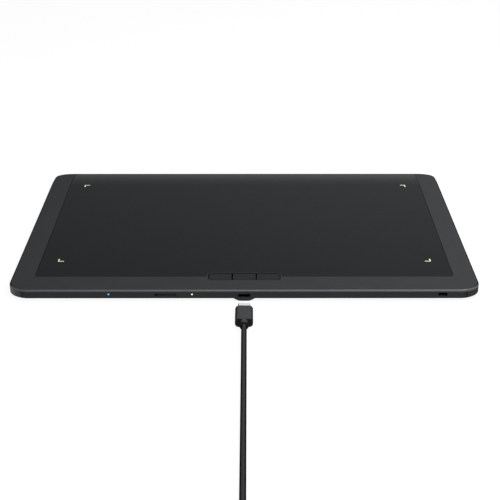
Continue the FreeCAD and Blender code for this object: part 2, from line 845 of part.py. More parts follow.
def make_bottom_cover():
    body = new_body("lower_case")
    low = outline(body, "base", "XY_Plane", "foot_proud", plan_at("(taper_inset + cover_inset)"))
    high = outline(body, "shoulder", "XY_Plane", "rim_z - cover_edge", plan_at("cover_inset"))
    loft(body, "taper", [low, high])
    edge = outline(body, "edge", "XY_Plane", "rim_z - cover_edge", plan_at("cover_inset"))
    pad(body, "edge_band", edge, "cover_edge")
    front = [
        ("-bump_top / 2", "rim_z"),
        ("-bump_flat / 2", "foot_proud", "bump_round"),
        ("bump_flat / 2", "foot_proud", "bump_round"),
        ("bump_top / 2", "rim_z"),
    ]
    bump = outline(body, "bump_front", "XZ_Plane", "near_y", front)
    pad(body, "bump", bump, "taper_inset + cover_inset + bump_past", back=True)
    floor = outline(body, "floor", "XY_Plane", "floor_z", plan_at("(taper_inset + cover_inset)"))
    lip = outline(body, "lip", "XY_Plane", "rim_z", plan_at("cover_lip"))
    before = body.Shape.Volume
    loft(body, "inside", [floor, lip], "PartDesign::SubtractiveLoft")
    if not before - body.Shape.Volume > 1:
        raise ValueError("the bottom cover isn't hollow")
    feet = [rounded(x0, x1, y0, y1, "foot_deep / 2 - seat_gap") for x0, x1, y0, y1 in foot_places("0")]
    under = f"foot_proud - {OVER}"
    pocket(body, "foot_beds", outline(body, "feet", "XY_Plane", under, *feet),
           f"foot_sunk + {OVER}", back=True)
    screws = FLAT_SCREWS + FAR_SCREWS
    heads = circles(body, "heads", "XY_Plane", under, "screw_head_d + 2 * screw_hole_gap", screws)
    pocket(body, "head_beds", heads, f"screw_head_tall + {OVER}", back=True)
    shanks = circles(body, "shanks", "XY_Plane", under, "screw_d + 2 * screw_hole_gap", screws)
    pocket(body, "shank_holes", shanks, f"cover_wall + 2 * {OVER}", back=True)
    keep(body, "bottom_cover")


def foot_places(shrink):
    """Limits of the four feet, each drawn in by shrink."""
    places = []
    for sx in (-1, 1):
        for sy in (-1, 1):
            x = f"{sx} * (side_x - foot_in_x)"
            y = f"{sy} * (far_y - foot_in_y)"
            places.append((f"{x} - foot_long / 2 + {shrink}", f"{x} + foot_long / 2 - {shrink}",
                           f"{y} - foot_deep / 2 + {shrink}", f"{y} + foot_deep / 2 - {shrink}"))
    return places


def make_rubber_feet():
    body = new_body("feet")
    body.AllowCompound = True
    wires = [rounded(x0, x1, y0, y1, "foot_deep / 2 - 2 * seat_gap")
             for x0, x1, y0, y1 in foot_places("seat_gap")]
    pad(body, "pads", outline(body, "plan", "XY_Plane", "0", *wires), "foot_proud + foot_sunk")
    keep(body, "rubber_feet")


def make_light_guides():
    body = new_body("corner_guides")
    body.AllowCompound = True
    pad(body, "guides", outline(body, "plan", "XY_Plane", "deck_z", *mark_wires("0")), "wall")
    beds = [sharp(x0, x1, y0, y1) for x0, x1, y0, y1 in led_places("mark_led_gap")]
    pocket(body, "led_beds", outline(body, "beds", "XY_Plane", f"deck_z - {OVER}", *beds),
           f"mark_led_tall + mark_led_gap + {OVER}", back=True)
    keep(body, "corner_light_guides")
    chips = [box("corner_led", x0, x1, y0, y1, "deck_z", "deck_z + mark_led_tall")
             for x0, x1, y0, y1 in led_places("0")]
    keep(group("corner_leds", chips), "corner_leds")


def led_places(grow):
    """Limits of the four corner chips, inside the light guides' corners."""
    places = []
    for sx in (-1, 1):
        for y, sy in (("mark_y0", -1), ("mark_y1", 1)):
            x = f"{sx} * (mark_x - mark_led_in)"
            y_mid = f"{y} - {sy} * mark_wide / 2"
            places.append((f"{x} - mark_led_wide / 2 - {grow}", f"{x} + mark_led_wide / 2 + {grow}",
                           f"{y_mid} - mark_led_deep / 2 - {grow}",
                           f"{y_mid} + mark_led_deep / 2 + {grow}"))
    return places


def make_digitizer():
    def area(y0, shrink):
        return rounded(f"-grid_x + {shrink}", f"grid_x - {shrink}", y0, f"palm_y - {shrink}",
                       "grid_round")
    plate("digitizer_board", "grid_z", "grid_thick", area("grid_y0", "0"))
    plate("shield_sheet", "shield_z", "shield_thick", area("plate_y0", "shield_in"))
    plate("support_plate", "plate_z", "plate_thick", area("plate_y0", "plate_in"))


def make_main_board():
    notch = "port_out_wide / 2 + slide_gap"
    wire = [
        ("board_x0", "board_y0", "board_round"),
        (f"-({notch})", "board_y0"),
        (f"-({notch})", "port_y1 + slide_gap"),
        (notch, "port_y1 + slide_gap"),
        (notch, "board_y0"),
        ("board_x1", "board_y0", "board_round"),
        ("board_x1", "board_y1", "board_round"),
        ("board_x0", "board_y1", "board_round"),
    ]
    body = new_body("board")
    pad(body, "sheet", outline(body, "plan", "XY_Plane", "board_z0", wire), "board_thick")
    holes = circles(body, "holes", "XY_Plane", "board_z0", "screw_d + 2 * screw_hole_gap",
                    BOARD_POSTS)
    pocket(body, "screw_holes", holes)
    keep(body, "main_board")


def on_board(name, x, y, wide, deep, tall):
    """A block-shaped component that stands on the main board, placed by its middle."""
    return box(name, f"{x} - {wide} / 2", f"{x} + {wide} / 2", f"{y} - {deep} / 2",
               f"{y} + {deep} / 2", "board_z1", f"board_z1 + {tall}")


def make_board_parts():
    chips = [on_board(name, f"board_x0 + {x}", f"board_y0 + {y}", wide, deep, tall)
             for name, (x, y, wide, deep, tall) in CHIPS.items()]
    keep(group("board_chips", chips), "board_chips")

    can = new_body("can")
    x0, y0 = "board_x0 + can_x", "board_y0 + can_y"
    x1, y1 = f"{x0} + can_wide", f"{y0} + can_deep"
    outer = outline(can, "plan", "XY_Plane", "board_z1", rounded(x0, x1, y0, y1, "can_round"))
    pad(can, "block", outer, "can_tall")
    inner = rounded(f"{x0} + can_wall", f"{x1} - can_wall", f"{y0} + can_wall", f"{y1} - can_wall",
                    "can_round - can_wall")
    hollow = outline(can, "hollow", "XY_Plane", f"board_z1 - {OVER}", inner)
    pocket(can, "inside", hollow, f"can_tall - can_wall + {OVER}", back=True)
    keep(can, "radio_shield_can")

    switches = []
    plungers = {}
    for name, (x0, x1, _) in KEYS.items():
        x = f"(({x0}) + ({x1})) / 2"
        block = on_board("switch", x, "key_y", "key_switch_wide", "key_switch_wide",
                         "key_switch_tall")
        well = rod("switch_well", x, "key_y", "board_z1 + key_switch_floor", "key_switch_well_d",
                   "key_switch_tall")
        switches.append(cut("switch_case", block, well))
        plungers[name] = rod("plunger", x, "key_y", "plunger_z", "plunger_d", "flange_z0 - plunger_z")
    keep(group("key_switches", switches), "key_switches")
    for name, plunger in plungers.items():
        keep(plunger, f"{name}_plunger")

    leds = [box("status_led", f"{x} - led_wide / 2", f"{x} + led_wide / 2", "light_y",
                "light_y + led_deep", "board_z1", "board_z1 + led_tall")
            for x in ("link_light_x", "power_light_x")]
    keep(group("status_leds", leds), "status_leds")
    for name, x in (("link_light_guide", "link_light_x"), ("power_light_guide", "power_light_x")):
        pin = rod("pin", x, "near_y", "light_high", "light_d", f"wall + {OVER}", "Y")
        collar = rod("collar", x, "wall_y", "light_high", "light_d + 2 * light_collar",
                     "light_y - wall_y", "Y")
        keep(fused(name, [pin, collar]), name)


def make_flex():
    """The ribbon from the digitizer board down to the main board, and its two connectors."""
    x0 = "board_x0 + flex_x"
    x1 = f"{x0} + flex_wide"
    y0, y1 = "board_y1 - near_connector_in", "grid_y0 + far_connector_in"
    near = box("near_connector", f"{x0} - connector_over", f"{x1} + connector_over",
               f"{y0} - connector_deep", y0, "board_z1", "board_z1 + near_connector_tall")
    far = box("far_connector", f"{x0} - connector_over", f"{x1} + connector_over",
              y1, f"{y1} + connector_deep", "grid_z - far_connector_tall", "grid_z")
    keep(group("flex_connectors", [near, far]), "flex_connectors")
    body = new_body("flex")
    z0 = "board_z1 + near_connector_tall / 2 - flex_thick / 2"
    z1 = "grid_z - far_connector_tall / 2 - flex_thick / 2"
    bend, inner_bend = "flex_bend", "flex_bend - flex_thick"
    ribbon = [
        (y0, z0), (f"{y0} + {bend}", z0, bend),
        (f"{y1} - {bend}", z1, inner_bend), (y1, z1),
        (y1, f"{z1} + flex_thick"), (f"{y1} - {bend}", f"{z1} + flex_thick", bend),
        (f"{y0} + {bend}", f"{z0} + flex_thick", inner_bend), (y0, f"{z0} + flex_thick"),
    ]
    pad(body, "ribbon", outline(body, "bend", "YZ_Plane", x0, ribbon), "flex_wide")
    keep(body, "sensor_flex")


def make_port():
    shell = new_body("port_shell")
    outer = outline(shell, "outside", "XZ_Plane", "port_y0", port_shape("port_wall"))
    pad(shell, "tube", outer, "port_long", back=True)
    middle = "port_out_wide / 2 + wing_out"
    wing = [sharp(f"{s} * ({middle}) - wing_wide / 2", f"{s} * ({middle}) + wing_wide / 2",
                  "board_z1", "board_z1 + wing_thick") for s in (-1, 1)]
    wings = outline(shell, "wings", "XZ_Plane", "board_y0 + wing_back", *wing)
    pad(shell, "wing_tabs", wings, "wing_deep", back=True)
    inner = outline(shell, "inside", "XZ_Plane", f"port_y0 - {OVER}", port_shape("0"))
    pocket(shell, "mouth", inner, f"port_long - port_wall + {OVER}")
    keep(shell, "usb_port_shell")

    tongue = new_body("port_tongue")
    base = outline(tongue, "base", "XZ_Plane", "port_y1 - port_wall", port_shape("0"))
    pad(tongue, "block", base, "tongue_base")
    tip = rounded("-tongue_wide / 2", "tongue_wide / 2", "port_high - tongue_thick / 2",
                  "port_high + tongue_thick / 2", "tongue_thick / 4")
    blade = outline(tongue, "blade", "XZ_Plane", "port_y1 - port_wall - tongue_base", tip)
    pad(tongue, "blade_block", blade, "port_long - port_wall - tongue_base - tongue_back")
    keep(tongue, "usb_port_tongue")


def make_keys():
    face = size("key_z")
    for name, (x0, x1, side) in KEYS.items():
        body = new_body(name)
        left = "key_round" if side < 0 else "key_inner_round"
        right = "key_round" if side > 0 else "key_inner_round"
        cap = [(x0, "key_y0", left), (x1, "key_y0", right), (x1, "key_y1", right), (x0, "key_y1", left)]
        pad(body, "cap", outline(body, "cap_plan", "XY_Plane", "flange_z0", cap), "key_z - flange_z0")
        round_edges(body, "soft_top", "min(key_soft; key_inner_round - 0.05)",
                    lambda e: e.BoundBox.ZMin > face - NEARLY)
        fx0 = f"{x0} - key_gap - flange_over" if side < 0 else x0
        fx1 = f"{x1} + key_gap + flange_over" if side > 0 else x1
        over = "key_gap + flange_over"
        flange = rounded(fx0, fx1, f"key_y0 - ({over})", f"key_y1 + {over}", "key_inner_round")
        pad(body, "flange", outline(body, "flange_plan", "XY_Plane", "flange_z0", flange),
            "flange_thick")
        if side == 0:
            bar = rounded("-key_bar_long / 2", "key_bar_long / 2", "key_y - key_bar_wide / 2",
                          "key_y + key_bar_wide / 2", "key_bar_wide / 2 - seat_gap")
            pad(body, "bar", outline(body, "bar_plan", "XY_Plane", f"key_z - {OVER}", bar),
                f"key_sink + {OVER}")
        keep(body, name)


def make_slider():
    knob = new_body("knob")
    low, high = "knob_high - knob_tall / 2", "knob_high + knob_tall / 2"
    face = outline(knob, "face", "XZ_Plane", "near_y + knob_sink",
                   rounded("knob_x0", "knob_x1", low, high, "knob_round"))
    pad(knob, "block", face, "wall - knob_sink + slide_gap", back=True)
    cover = sharp("slot_x0 - slide_plate_left", "slot_x1 + knob_travel + slide_plate_right",
                  f"{low} - slide_plate_over", f"{high} + slide_plate_over")
    back = outline(knob, "cover", "XZ_Plane", "wall_y + slide_gap", cover)
    pad(knob, "cover_plate", back, "slide_plate", back=True)
    first = "knob_x0 + rib_in"
    groove = sharp(f"{first} - rib_groove / 2", f"{first} + rib_groove / 2", f"{low} - {OVER}",
                   f"{high} + {OVER}")
    lines = outline(knob, "groove", "XZ_Plane", f"near_y + knob_sink - {OVER}", groove)
    rib = pocket(knob, "rib_groove", lines, f"rib_depth + {OVER}")
    row = knob.newObject("PartDesign::LinearPattern", "rib_row")
    row.Originals = [rib]
    row.Direction = (lines, ["H_Axis"])
    bind(row, "Length", f"{GROOVE_COUNT - 1} * rib_pitch")
    row.Occurrences = GROOVE_COUNT
    knob.Tip = row
    doc.recompute()
    keep(knob, "power_slider")

    lever_y0 = "wall_y + slide_gap + slide_plate"
    lever_z0 = "knob_high - lever_low"
    case_y0 = f"{lever_y0} + slide_switch_back"
    lever = box("lever", "knob_x - lever_wide / 2", "knob_x + lever_wide / 2", lever_y0,
                f"{case_y0} + lever_in", lever_z0, f"{lever_z0} + lever_tall")
    keep(lever, "power_switch_lever")
    case = box("case", "knob_x - slide_switch_left", "knob_x + slide_switch_right", case_y0,
               f"{case_y0} + slide_switch_deep", "board_z1", "board_z1 + slide_switch_tall")
    way = box("way", "knob_x - lever_wide / 2 - knob_travel - lever_gap",
              "knob_x + lever_wide / 2 + lever_gap", f"{case_y0} - {OVER}",
              f"{case_y0} + lever_in + lever_gap", f"{lever_z0} - slide_gap",
              f"{lever_z0} + lever_tall + slide_gap")
    keep(cut("slide_switch", case, way), "slide_switch")


def make_lock_bracket():
    body = new_body("bracket")
    x0, x1 = "lock_x - lock_plate_wide / 2", "lock_x + lock_plate_wide / 2"
    face = sharp(x0, x1, "lock_z0 - lock_plate_low", "deck_z")
    pad(body, "plate", outline(body, "front", "XZ_Plane", "wall_y", face), "lock_plate", back=True)
    top = sharp(x0, x1, "wall_y", "wall_y + lock_plate_back")
    pad(body, "flange", outline(body, "top", "XY_Plane", "deck_z - lock_plate", top), "lock_plate")
    holes = circles(body, "stakes", "XY_Plane", "deck_z", "stake_d + 2 * seat_gap", LOCK_STAKES)
    pocket(body, "stake_holes", holes, f"lock_plate + {OVER}")
    gap = "lock_slot_gap"
    slot = rounded(f"lock_x0 + {gap}", f"lock_x1 - {gap}", f"lock_z0 + {gap}", f"lock_z1 - {gap}",
                   f"slot_round - {gap}")
    pocket(body, "slot", outline(body, "slot_front", "XZ_Plane", f"wall_y - {OVER}", slot),
           f"lock_plate + 2 * {OVER}")
    keep(body, "lock_slot_bracket")


def screw(name, x, y, z, long):
    """A pan-head screw with its head's underside at z, pointing up."""
    head = rod("head", x, y, f"{z} - screw_head_tall", "screw_head_d", "screw_head_tall")
    shank = rod("shank", x, y, z, "screw_d", long)
    drive = rod("drive", x, y, f"{z} - screw_head_tall", "drive_d", "drive_deep")
    return cut(name, fused("blank", [head, shank]), drive)


def make_screws():
    long = [screw("housing_screw", x, y, "foot_proud + screw_head_tall", "screw_long - screw_head_tall")
            for x, y in FLAT_SCREWS + FAR_SCREWS]
    keep(group("housing_screws", long), "housing_screws")
    short = [screw("board_screw", x, y, "board_z0", "board_thick + board_screw_in")
             for x, y in BOARD_POSTS]
    keep(group("board_screws", short), "board_screws")


def make_battery():
    x1, y1 = "cell_x0 + cell_wide", "cell_y0 + cell_deep"
    body = new_body("cell")
    plan = rounded("cell_x0", x1, "cell_y0", y1, "cell_round")
    pad(body, "pouch", outline(body, "plan", "XY_Plane", "floor_z", plan), "cell_thick")
    round_edges(body, "soft_sides", "cell_soft", lambda e: e.BoundBox.ZLength < NEARLY)
    keep(body, "battery_cell")
    plug_x, plug_y = "board_x1 - cell_plug_side", "board_y1 - cell_plug_in"
    plug = on_board("battery_connector", plug_x, plug_y, "cell_plug_wide", "cell_plug_deep",
                    "cell_plug_tall")
    keep(plug, "battery_connector")
    start, end = size("cell_y0"), size(f"{plug_y} + cell_plug_deep / 2")
    low, high = size("floor_z + cell_thick / 2"), size("board_z1 + cell_plug_tall / 2")
    leads = []
    for side in (-1, 1):
        x = size(f"{plug_x} + {side} * wire_apart / 2")
        route = [
            Vector(x, start, low),
            Vector(x, start - size("wire_out"), low),
            Vector(x, end + size("wire_down"), high),
            Vector(x, end, high),
        ]
        lead = doc.addObject("Part::Feature", "lead")
        lead.Shape = tube(route, size("wire_d"))[0]
        leads.append(lead)
    keep(group("battery_wires", leads), "battery_wires")


# Cable

def arc_between(start, way, end):
    """The arc that leaves start along way and ends at end, with its tangent there."""
    chord = end - start
    half = way.getAngle(chord)
    if half < 1e-5:
        return Part.LineSegment(start, end).toShape(), way
    corner = start + way * (chord.Length / 2 / math.cos(half))
    middle = (start + end) / 2
    top = middle + (corner - middle) * (math.tan(half / 2) / math.tan(half))
    return Part.Arc(start, top, end).toShape(), (end - corner).normalize()


def biarc(start, way, end, last_way):
    """Two arcs that leave start along way and reach end along last_way."""
    chord = end - start
    both = way + last_way
    flat = 2 * (1 - way.dot(last_way))
    along = chord.dot(both)
    reach = chord.dot(chord) / (2 * along)
    if flat > 1e-9:
        reach = (math.sqrt(along ** 2 + flat * chord.dot(chord)) - along) / flat
    joint = (start + way * reach + end - last_way * reach) / 2
    first, turned = arc_between(start, way, joint)
    return [first, arc_between(joint, turned, end)[0]]


def tube(points, diameter):
    """A round tube along straight runs and tangent arcs, and the radii of its arcs."""
    edges = []
    radii = []
    at = points[0]
    for before, here, after in zip(points, points[1:], points[2:]):
        into = (here - before).normalize()
        out = (after - here).normalize()
        half = into.getAngle(out) / 2
        reach = 0.45 * min((here - before).Length, (after - here).Length)
        start, end = here - into * reach, here + out * reach
        radii.append(reach / math.tan(half))
        edges.append(Part.LineSegment(at, start).toShape())
        edges.append(arc_between(start, into, end)[0])
        at = end
    edges.append(Part.LineSegment(at, points[-1]).toShape())
    return swept(edges, diameter), radii


def swept(edges, diameter):
    """A round solid along tangent edges."""
    path = Part.Wire(edges)
    start = edges[0].valueAt(edges[0].FirstParameter)
    way = edges[0].tangentAt(edges[0].FirstParameter)
    ring = Part.Wire([Part.Circle(start, way, diameter / 2).toShape()])
    return path.makePipeShell([ring], True, False)


def coil_place(turn):
    """Middle of the wound cable after a number of turns, and its direction."""
    out_r, step, turns = size("loop_out_r"), size("loop_step"), size("layer_turns")
    middle = Vector(out_r, size("coil_y"), size("cord_r + coil_lift"))
    layer, part = divmod(turn, turns)
    inward = layer % 2 == 0
    radius = out_r - step * (part if inward else turns - part)
    slope = step * (-1 if inward else 1)
    nearest = round(turn / turns)
    if abs(turn - nearest * turns) < 1e-6:
        slope = 0
    share = 0.5 + (turn - nearest * turns) / CLIMB_TURNS
    # each layer is climbed in the half turn around the spiral's reversal
    if 0 < nearest < COIL_LAYERS and 0 < share < 1:
        level = nearest - 1 + share * share * (3 - 2 * share)
        rise = 6 * share * (1 - share) / CLIMB_TURNS * step
    else:
        level = min(max(layer, 0), COIL_LAYERS - 1)
        rise = 0
    angle = math.pi + 2 * math.pi * turn
    spot = middle + Vector(radius * math.cos(angle), radius * math.sin(angle), level * step)
    way = Vector(-radius * math.sin(angle), radius * math.cos(angle), rise / 2 / math.pi)
    way += Vector(math.cos(angle), math.sin(angle), 0) * (slope / 2 / math.pi)
    return spot, way.normalize()


def coil_edges():
    """Straight start, wound turns as pairs of arcs a quarter turn long, straight end."""
    straight = size("cord_d")
    quarters = round(4 * COIL_LAYERS * size("layer_turns"))
    start, _ = coil_place(0)
    start_way = Vector(0, -1, 0)
    first = start - start_way * straight
    edges = [Part.LineSegment(first, start).toShape()]
    spots = [(start, start_way)] + [coil_place(q / 4) for q in range(1, quarters)]
    end, _ = coil_place(COIL_LAYERS * size("layer_turns") - 1e-9)
    spots.append((end, Vector(0, -1, 0)))
    for (here, way), (there, last_way) in zip(spots, spots[1:]):
        edges += biarc(here, way, there, last_way)
    edges.append(Part.LineSegment(end, end + Vector(0, -straight, 0)).toShape())
    return edges


def least_gap(edges, diameter):
    """The smallest clear space between parts of a wound tube that aren't neighbours."""
    points = []
    for edge in edges:
        low, high = edge.ParameterRange
        points += [edge.valueAt(low + (high - low) * k / 10) for k in range(10)]
    lengths = [0.0]
    for a, b in zip(points, points[1:]):
        lengths.append(lengths[-1] + a.distanceToPoint(b))
    least = 1e9
    for i, a in enumerate(points):
        for j in range(i + 1, len(points)):
            if lengths[j] - lengths[i] > 5 * diameter:
                b = points[j]
                away = (a.x - b.x) ** 2 + (a.y - b.y) ** 2 + (a.z - b.z) ** 2
                least = min(least, away)
    return math.sqrt(least) - diameter


def shaped(name, shape):
    piece = doc.addObject("Part::Feature", name)
    piece.Shape = shape
    return keep(piece, name)


def make_cable():
    diameter = size("cord_d")
    floor = size("cord_r")
    coil = coil_edges()
    coil_start = coil[0].valueAt(coil[0].FirstParameter)
    coil_end = coil[-1].valueAt(coil[-1].LastParameter)
    exit_y, high = size("cord_y"), size("port_high")
    fall_y, land_y = exit_y - size("cord_out"), exit_y - size("cord_out + cord_fall")
    climb_y = coil_start.y + size("coil_run")
    route = [
        Vector(0, exit_y, high),
        Vector(0, fall_y, high),
        Vector(0, land_y, floor),
        Vector(0, climb_y + size("coil_rise"), floor),
        Vector(0, climb_y, coil_start.z),
        coil_start,
    ]
    cord, radii = tube(route, diameter)
    shaped("cable_cord", cord)
    print("cable radii", [round(r, 1) for r in radii])
    gap = least_gap(coil, diameter)
    print("coil: least gap to itself", round(gap, 2), "mm, turns", COIL_LAYERS * size("layer_turns"))
    wound = swept(coil, diameter)
    shaped("cable_coil", wound)
    far_z = size("far_mould_tall / 2")
    drop_y = coil_end.y - size("tail_out")
    low_y = drop_y - size("tail_fall")
    tail_route = [
        coil_end,
        Vector(0, drop_y, coil_end.z),
        Vector(0, low_y, far_z),
        Vector(0, low_y - size("tail_end"), far_z),
    ]
    tail, radii = tube(tail_route, diameter)
    shaped("cable_tail", tail)
    print("tail radii", [round(r, 1) for r in radii])
    section = math.pi * diameter ** 2 / 4
    for name, shape in (("cord", cord), ("coil", wound), ("tail", tail)):
        print(name, "length from its volume", round(shape.Volume / section, 1), "mm")
    print("coil length along its arcs", round(sum(e.Length for e in coil), 1), "mm")
    make_tie()
    make_far_plug(tail_route[-1])


def make_tie():
    """A flat strap round the wound turns, on the side of the coil that faces the tablet."""
    inner_r = "loop_out_r - layer_turns * loop_step"
    low = f"coil_y + ({inner_r}) - cord_r - tie_side_gap"
    high = "coil_y + loop_out_r + cord_r"
    bottom = "coil_lift - tie_face_gap"
    top = f"coil_lift + {COIL_LAYERS - 1} * loop_step + cord_d + tie_face_gap"
    body = new_body("tie")
    ring = outline(
        body, "loop", "YZ_Plane", "loop_out_r - tie_wide / 2",
        rounded(f"{low} - tie_thick", f"{high} + tie_thick", f"{bottom} - tie_thick",
                f"{top} + tie_thick", "tie_round + tie_thick"),
        rounded(low, high, bottom, top, "tie_round"),
    )
    pad(body, "strap", ring, "tie_wide")
    keep(body, "cable_tie")


def make_near_plug():
    tip_y = "plug_y1 + plug_long"
    mould = new_body("mould")
    high, wide = "mould_tall / 2", "mould_wide / 2"
    section = rounded(f"-{wide}", wide, f"port_high - {high}", f"port_high + {high}", "mould_round")
    pad(mould, "grip", outline(mould, "section", "XZ_Plane", "mould_y0", section), "mould_long",
        back=True)
    front = size("plug_y1")
    round_edges(mould, "soft_front", "mould_front_round", lambda e: e.BoundBox.YMin > front - NEARLY)
    rear = size("mould_y0")
    round_edges(mould, "soft_rear", "mould_rear_round", lambda e: e.BoundBox.YMax < rear + NEARLY)
    neck = circles(mould, "neck", "XZ_Plane", f"mould_y0 + {CUT_PAST}", "neck_d", [("0", "port_high")])
    pad(mould, "neck_rod", neck, f"neck_long + {CUT_PAST}")
    end = size("cord_y")
    round_edges(mould, "soft_neck", "neck_round", lambda e: e.BoundBox.YMax < end + NEARLY)
    seat = outline(mould, "seat", "XZ_Plane", f"plug_y1 + {OVER}", plug_shape("0"))
    pocket(mould, "shell_seat", seat, f"plug_sunk + {OVER}", back=True)
    keep(mould, "usb_c_overmould")

    shell = new_body("plug_tube")
    outside = outline(shell, "outside", "XZ_Plane", "plug_y1 - plug_sunk", plug_shape("0"))
    pad(shell, "tube", outside, "plug_long + plug_sunk", back=True)
    bore = outline(shell, "inside", "XZ_Plane", f"plug_y1 - plug_sunk - {OVER}",
                   plug_shape("plug_wall"))
    pocket(shell, "bore", bore, f"plug_long + plug_sunk + 2 * {OVER}")
    keep(shell, "usb_c_plug_shell")

    core = new_body("plug_core")
    block = outline(core, "block", "XZ_Plane", "plug_y1 - plug_sunk", plug_shape("plug_wall"))
    pad(core, "body", block, "plug_long + plug_sunk - core_back", back=True)
    half, thick = "(tongue_wide / 2 + tongue_side_gap)", "(tongue_thick / 2 + tongue_face_gap)"
    room = rounded(f"-{half}", half, f"port_high - {thick}", f"port_high + {thick}",
                   "tongue_thick / 4")
    slot = outline(core, "slot", "XZ_Plane", tip_y, room)
    pocket(core, "tongue_slot", slot, "tongue_slot_deep", back=True)
    keep(core, "usb_c_plug_insert")


def make_far_plug(start):
    """The plug at the cable's far end, lying on the table beside the coil."""
    x, y, z = f"{start.x}", f"{start.y}", "far_mould_tall / 2"
    mould_y1 = f"{y} - far_neck_long"
    mould_y0 = f"{mould_y1} - far_mould_long"
    mould = new_body("far_mould")
    wide = "far_mould_wide / 2"
    section = rounded(f"{x} - {wide}", f"{x} + {wide}", "0", "far_mould_tall", "far_mould_round")
    pad(mould, "grip", outline(mould, "section", "XZ_Plane", mould_y1, section), "far_mould_long")
    rear, front = size(mould_y1), size(mould_y0)
    round_edges(mould, "soft_rear", "far_rear_round", lambda e: e.BoundBox.YMin > rear - NEARLY)
    round_edges(mould, "soft_front", "far_front_round", lambda e: e.BoundBox.YMax < front + NEARLY)
    thick = circles(mould, "thick", "XZ_Plane", f"{mould_y1} - {OVER}", "far_neck_d", [(x, z)])
    thin = circles(mould, "thin", "XZ_Plane", y, "cord_d + far_neck_tip", [(x, z)])
    loft(mould, "neck", [thick, thin])
    half, tall = "far_wide / 2", "far_tall / 2"
    around = rounded(f"{x} - {half}", f"{x} + {half}", f"{z} - {tall}", f"{z} + {tall}", "far_round")
    seat = outline(mould, "seat", "XZ_Plane", f"{mould_y0} - {OVER}", around)
    pocket(mould, "shell_seat", seat, f"far_sunk + {OVER}")
    keep(mould, "usb_a_overmould")

    shell = new_body("far_shell")
    pad(shell, "tube", outline(shell, "outside", "XZ_Plane", f"{mould_y0} + far_sunk", around),
        "far_long + far_sunk")
    bore = rounded(f"{x} - {half} + far_wall", f"{x} + {half} - far_wall",
                   f"{z} - {tall} + far_wall", f"{z} + {tall} - far_wall", "far_round - far_wall")
    inside = outline(shell, "inside", "XZ_Plane", f"{mould_y0} + far_sunk + {OVER}", bore)
    pocket(shell, "bore", inside, f"far_long + far_sunk + 2 * {OVER}", back=True)
    window_y = f"{mould_y0} - far_long + window_in"
    windows = []
    for side in (-1, 1):
        middle = f"{x} + {side} * window_out"
        windows.append(sharp(f"{middle} - window_wide / 2", f"{middle} + window_wide / 2",
                             f"{window_y} - window_long / 2", f"{window_y} + window_long / 2"))
    pocket(shell, "windows", outline(shell, "window_plan", "XY_Plane", "0", *windows))
    keep(shell, "usb_a_plug_shell")

    core = new_body("far_core")
    inner = outline(core, "block", "XZ_Plane", f"{mould_y0} + far_sunk", bore)
    pad(core, "back", inner, "far_sunk + far_core_long")
    top = f"{z} + {tall} - far_wall"
    shelf_x = "far_wide / 2 - far_wall - shelf_side_gap"
    shelf_z = f"{top} - shelf_gap - shelf_thick"
    shelf = sharp(f"{x} - ({shelf_x})", f"{x} + {shelf_x}", shelf_z, f"{top} - shelf_gap")
    shelf_y = f"{mould_y0} - far_core_long + {OVER}"
    pad(core, "shelf", outline(core, "shelf_end", "XZ_Plane", shelf_y, shelf),
        f"far_long - far_core_long + {OVER} - shelf_back")
    keep(core, "usb_a_plug_insert")
    strips = [box("strip", f"{x} + {place} - strip_wide / 2", f"{x} + {place} + strip_wide / 2",
                  f"{mould_y0} - far_long + strip_back", f"{mould_y0} - far_core_long",
                  f"{shelf_z} - strip_thick", shelf_z) for place in CONTACTS_X]
    keep(group("usb_a_contacts", strips), "usb_a_contacts")


make_top_housing()
make_active_surface()
make_bottom_cover()
make_rubber_feet()
make_light_guides()
make_digitizer()
make_main_board()
make_board_parts()
make_flex()
make_port()
make_keys()
make_slider()
make_lock_bracket()
make_screws()
make_battery()
make_near_plug()
make_cable()
doc.recompute()

for thing in doc.Objects:
    if "Invalid" in thing.State or "Error" in thing.State:
        raise ValueError(f"{thing.Label} failed: {thing.State}")
for name, thing in NODES.items():
    shape = thing.Shape
    if shape.isNull() or not shape.isValid() or not shape.Solids:
        raise ValueError(f"{name} has no valid solid")

os.makedirs("parts", exist_ok=True)
for name, thing in NODES.items():
    thing.Shape.exportStep(os.path.join("parts", f"{name}.step"))
print(len(NODES), "sub-parts written")
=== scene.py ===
# Looks of a slim pen tablet and its data cable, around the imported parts. Lengths are in metres.
import math

import bmesh
import bpy
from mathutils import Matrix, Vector


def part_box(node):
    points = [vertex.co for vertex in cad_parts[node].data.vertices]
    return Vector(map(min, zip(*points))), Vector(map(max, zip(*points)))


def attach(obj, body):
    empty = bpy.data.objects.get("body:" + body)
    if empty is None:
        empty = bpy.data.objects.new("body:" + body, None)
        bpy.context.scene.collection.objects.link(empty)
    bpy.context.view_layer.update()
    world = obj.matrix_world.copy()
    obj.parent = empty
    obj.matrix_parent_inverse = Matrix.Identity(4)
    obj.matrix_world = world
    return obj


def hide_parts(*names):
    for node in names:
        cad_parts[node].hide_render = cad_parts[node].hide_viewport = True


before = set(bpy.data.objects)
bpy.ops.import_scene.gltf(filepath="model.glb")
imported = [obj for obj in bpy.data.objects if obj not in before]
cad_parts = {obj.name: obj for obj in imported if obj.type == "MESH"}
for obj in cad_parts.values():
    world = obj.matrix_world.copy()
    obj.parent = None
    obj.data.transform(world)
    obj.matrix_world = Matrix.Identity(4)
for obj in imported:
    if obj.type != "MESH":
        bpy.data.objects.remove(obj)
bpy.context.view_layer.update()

MM = 0.001
SCENE = bpy.context.scene


# Nodes

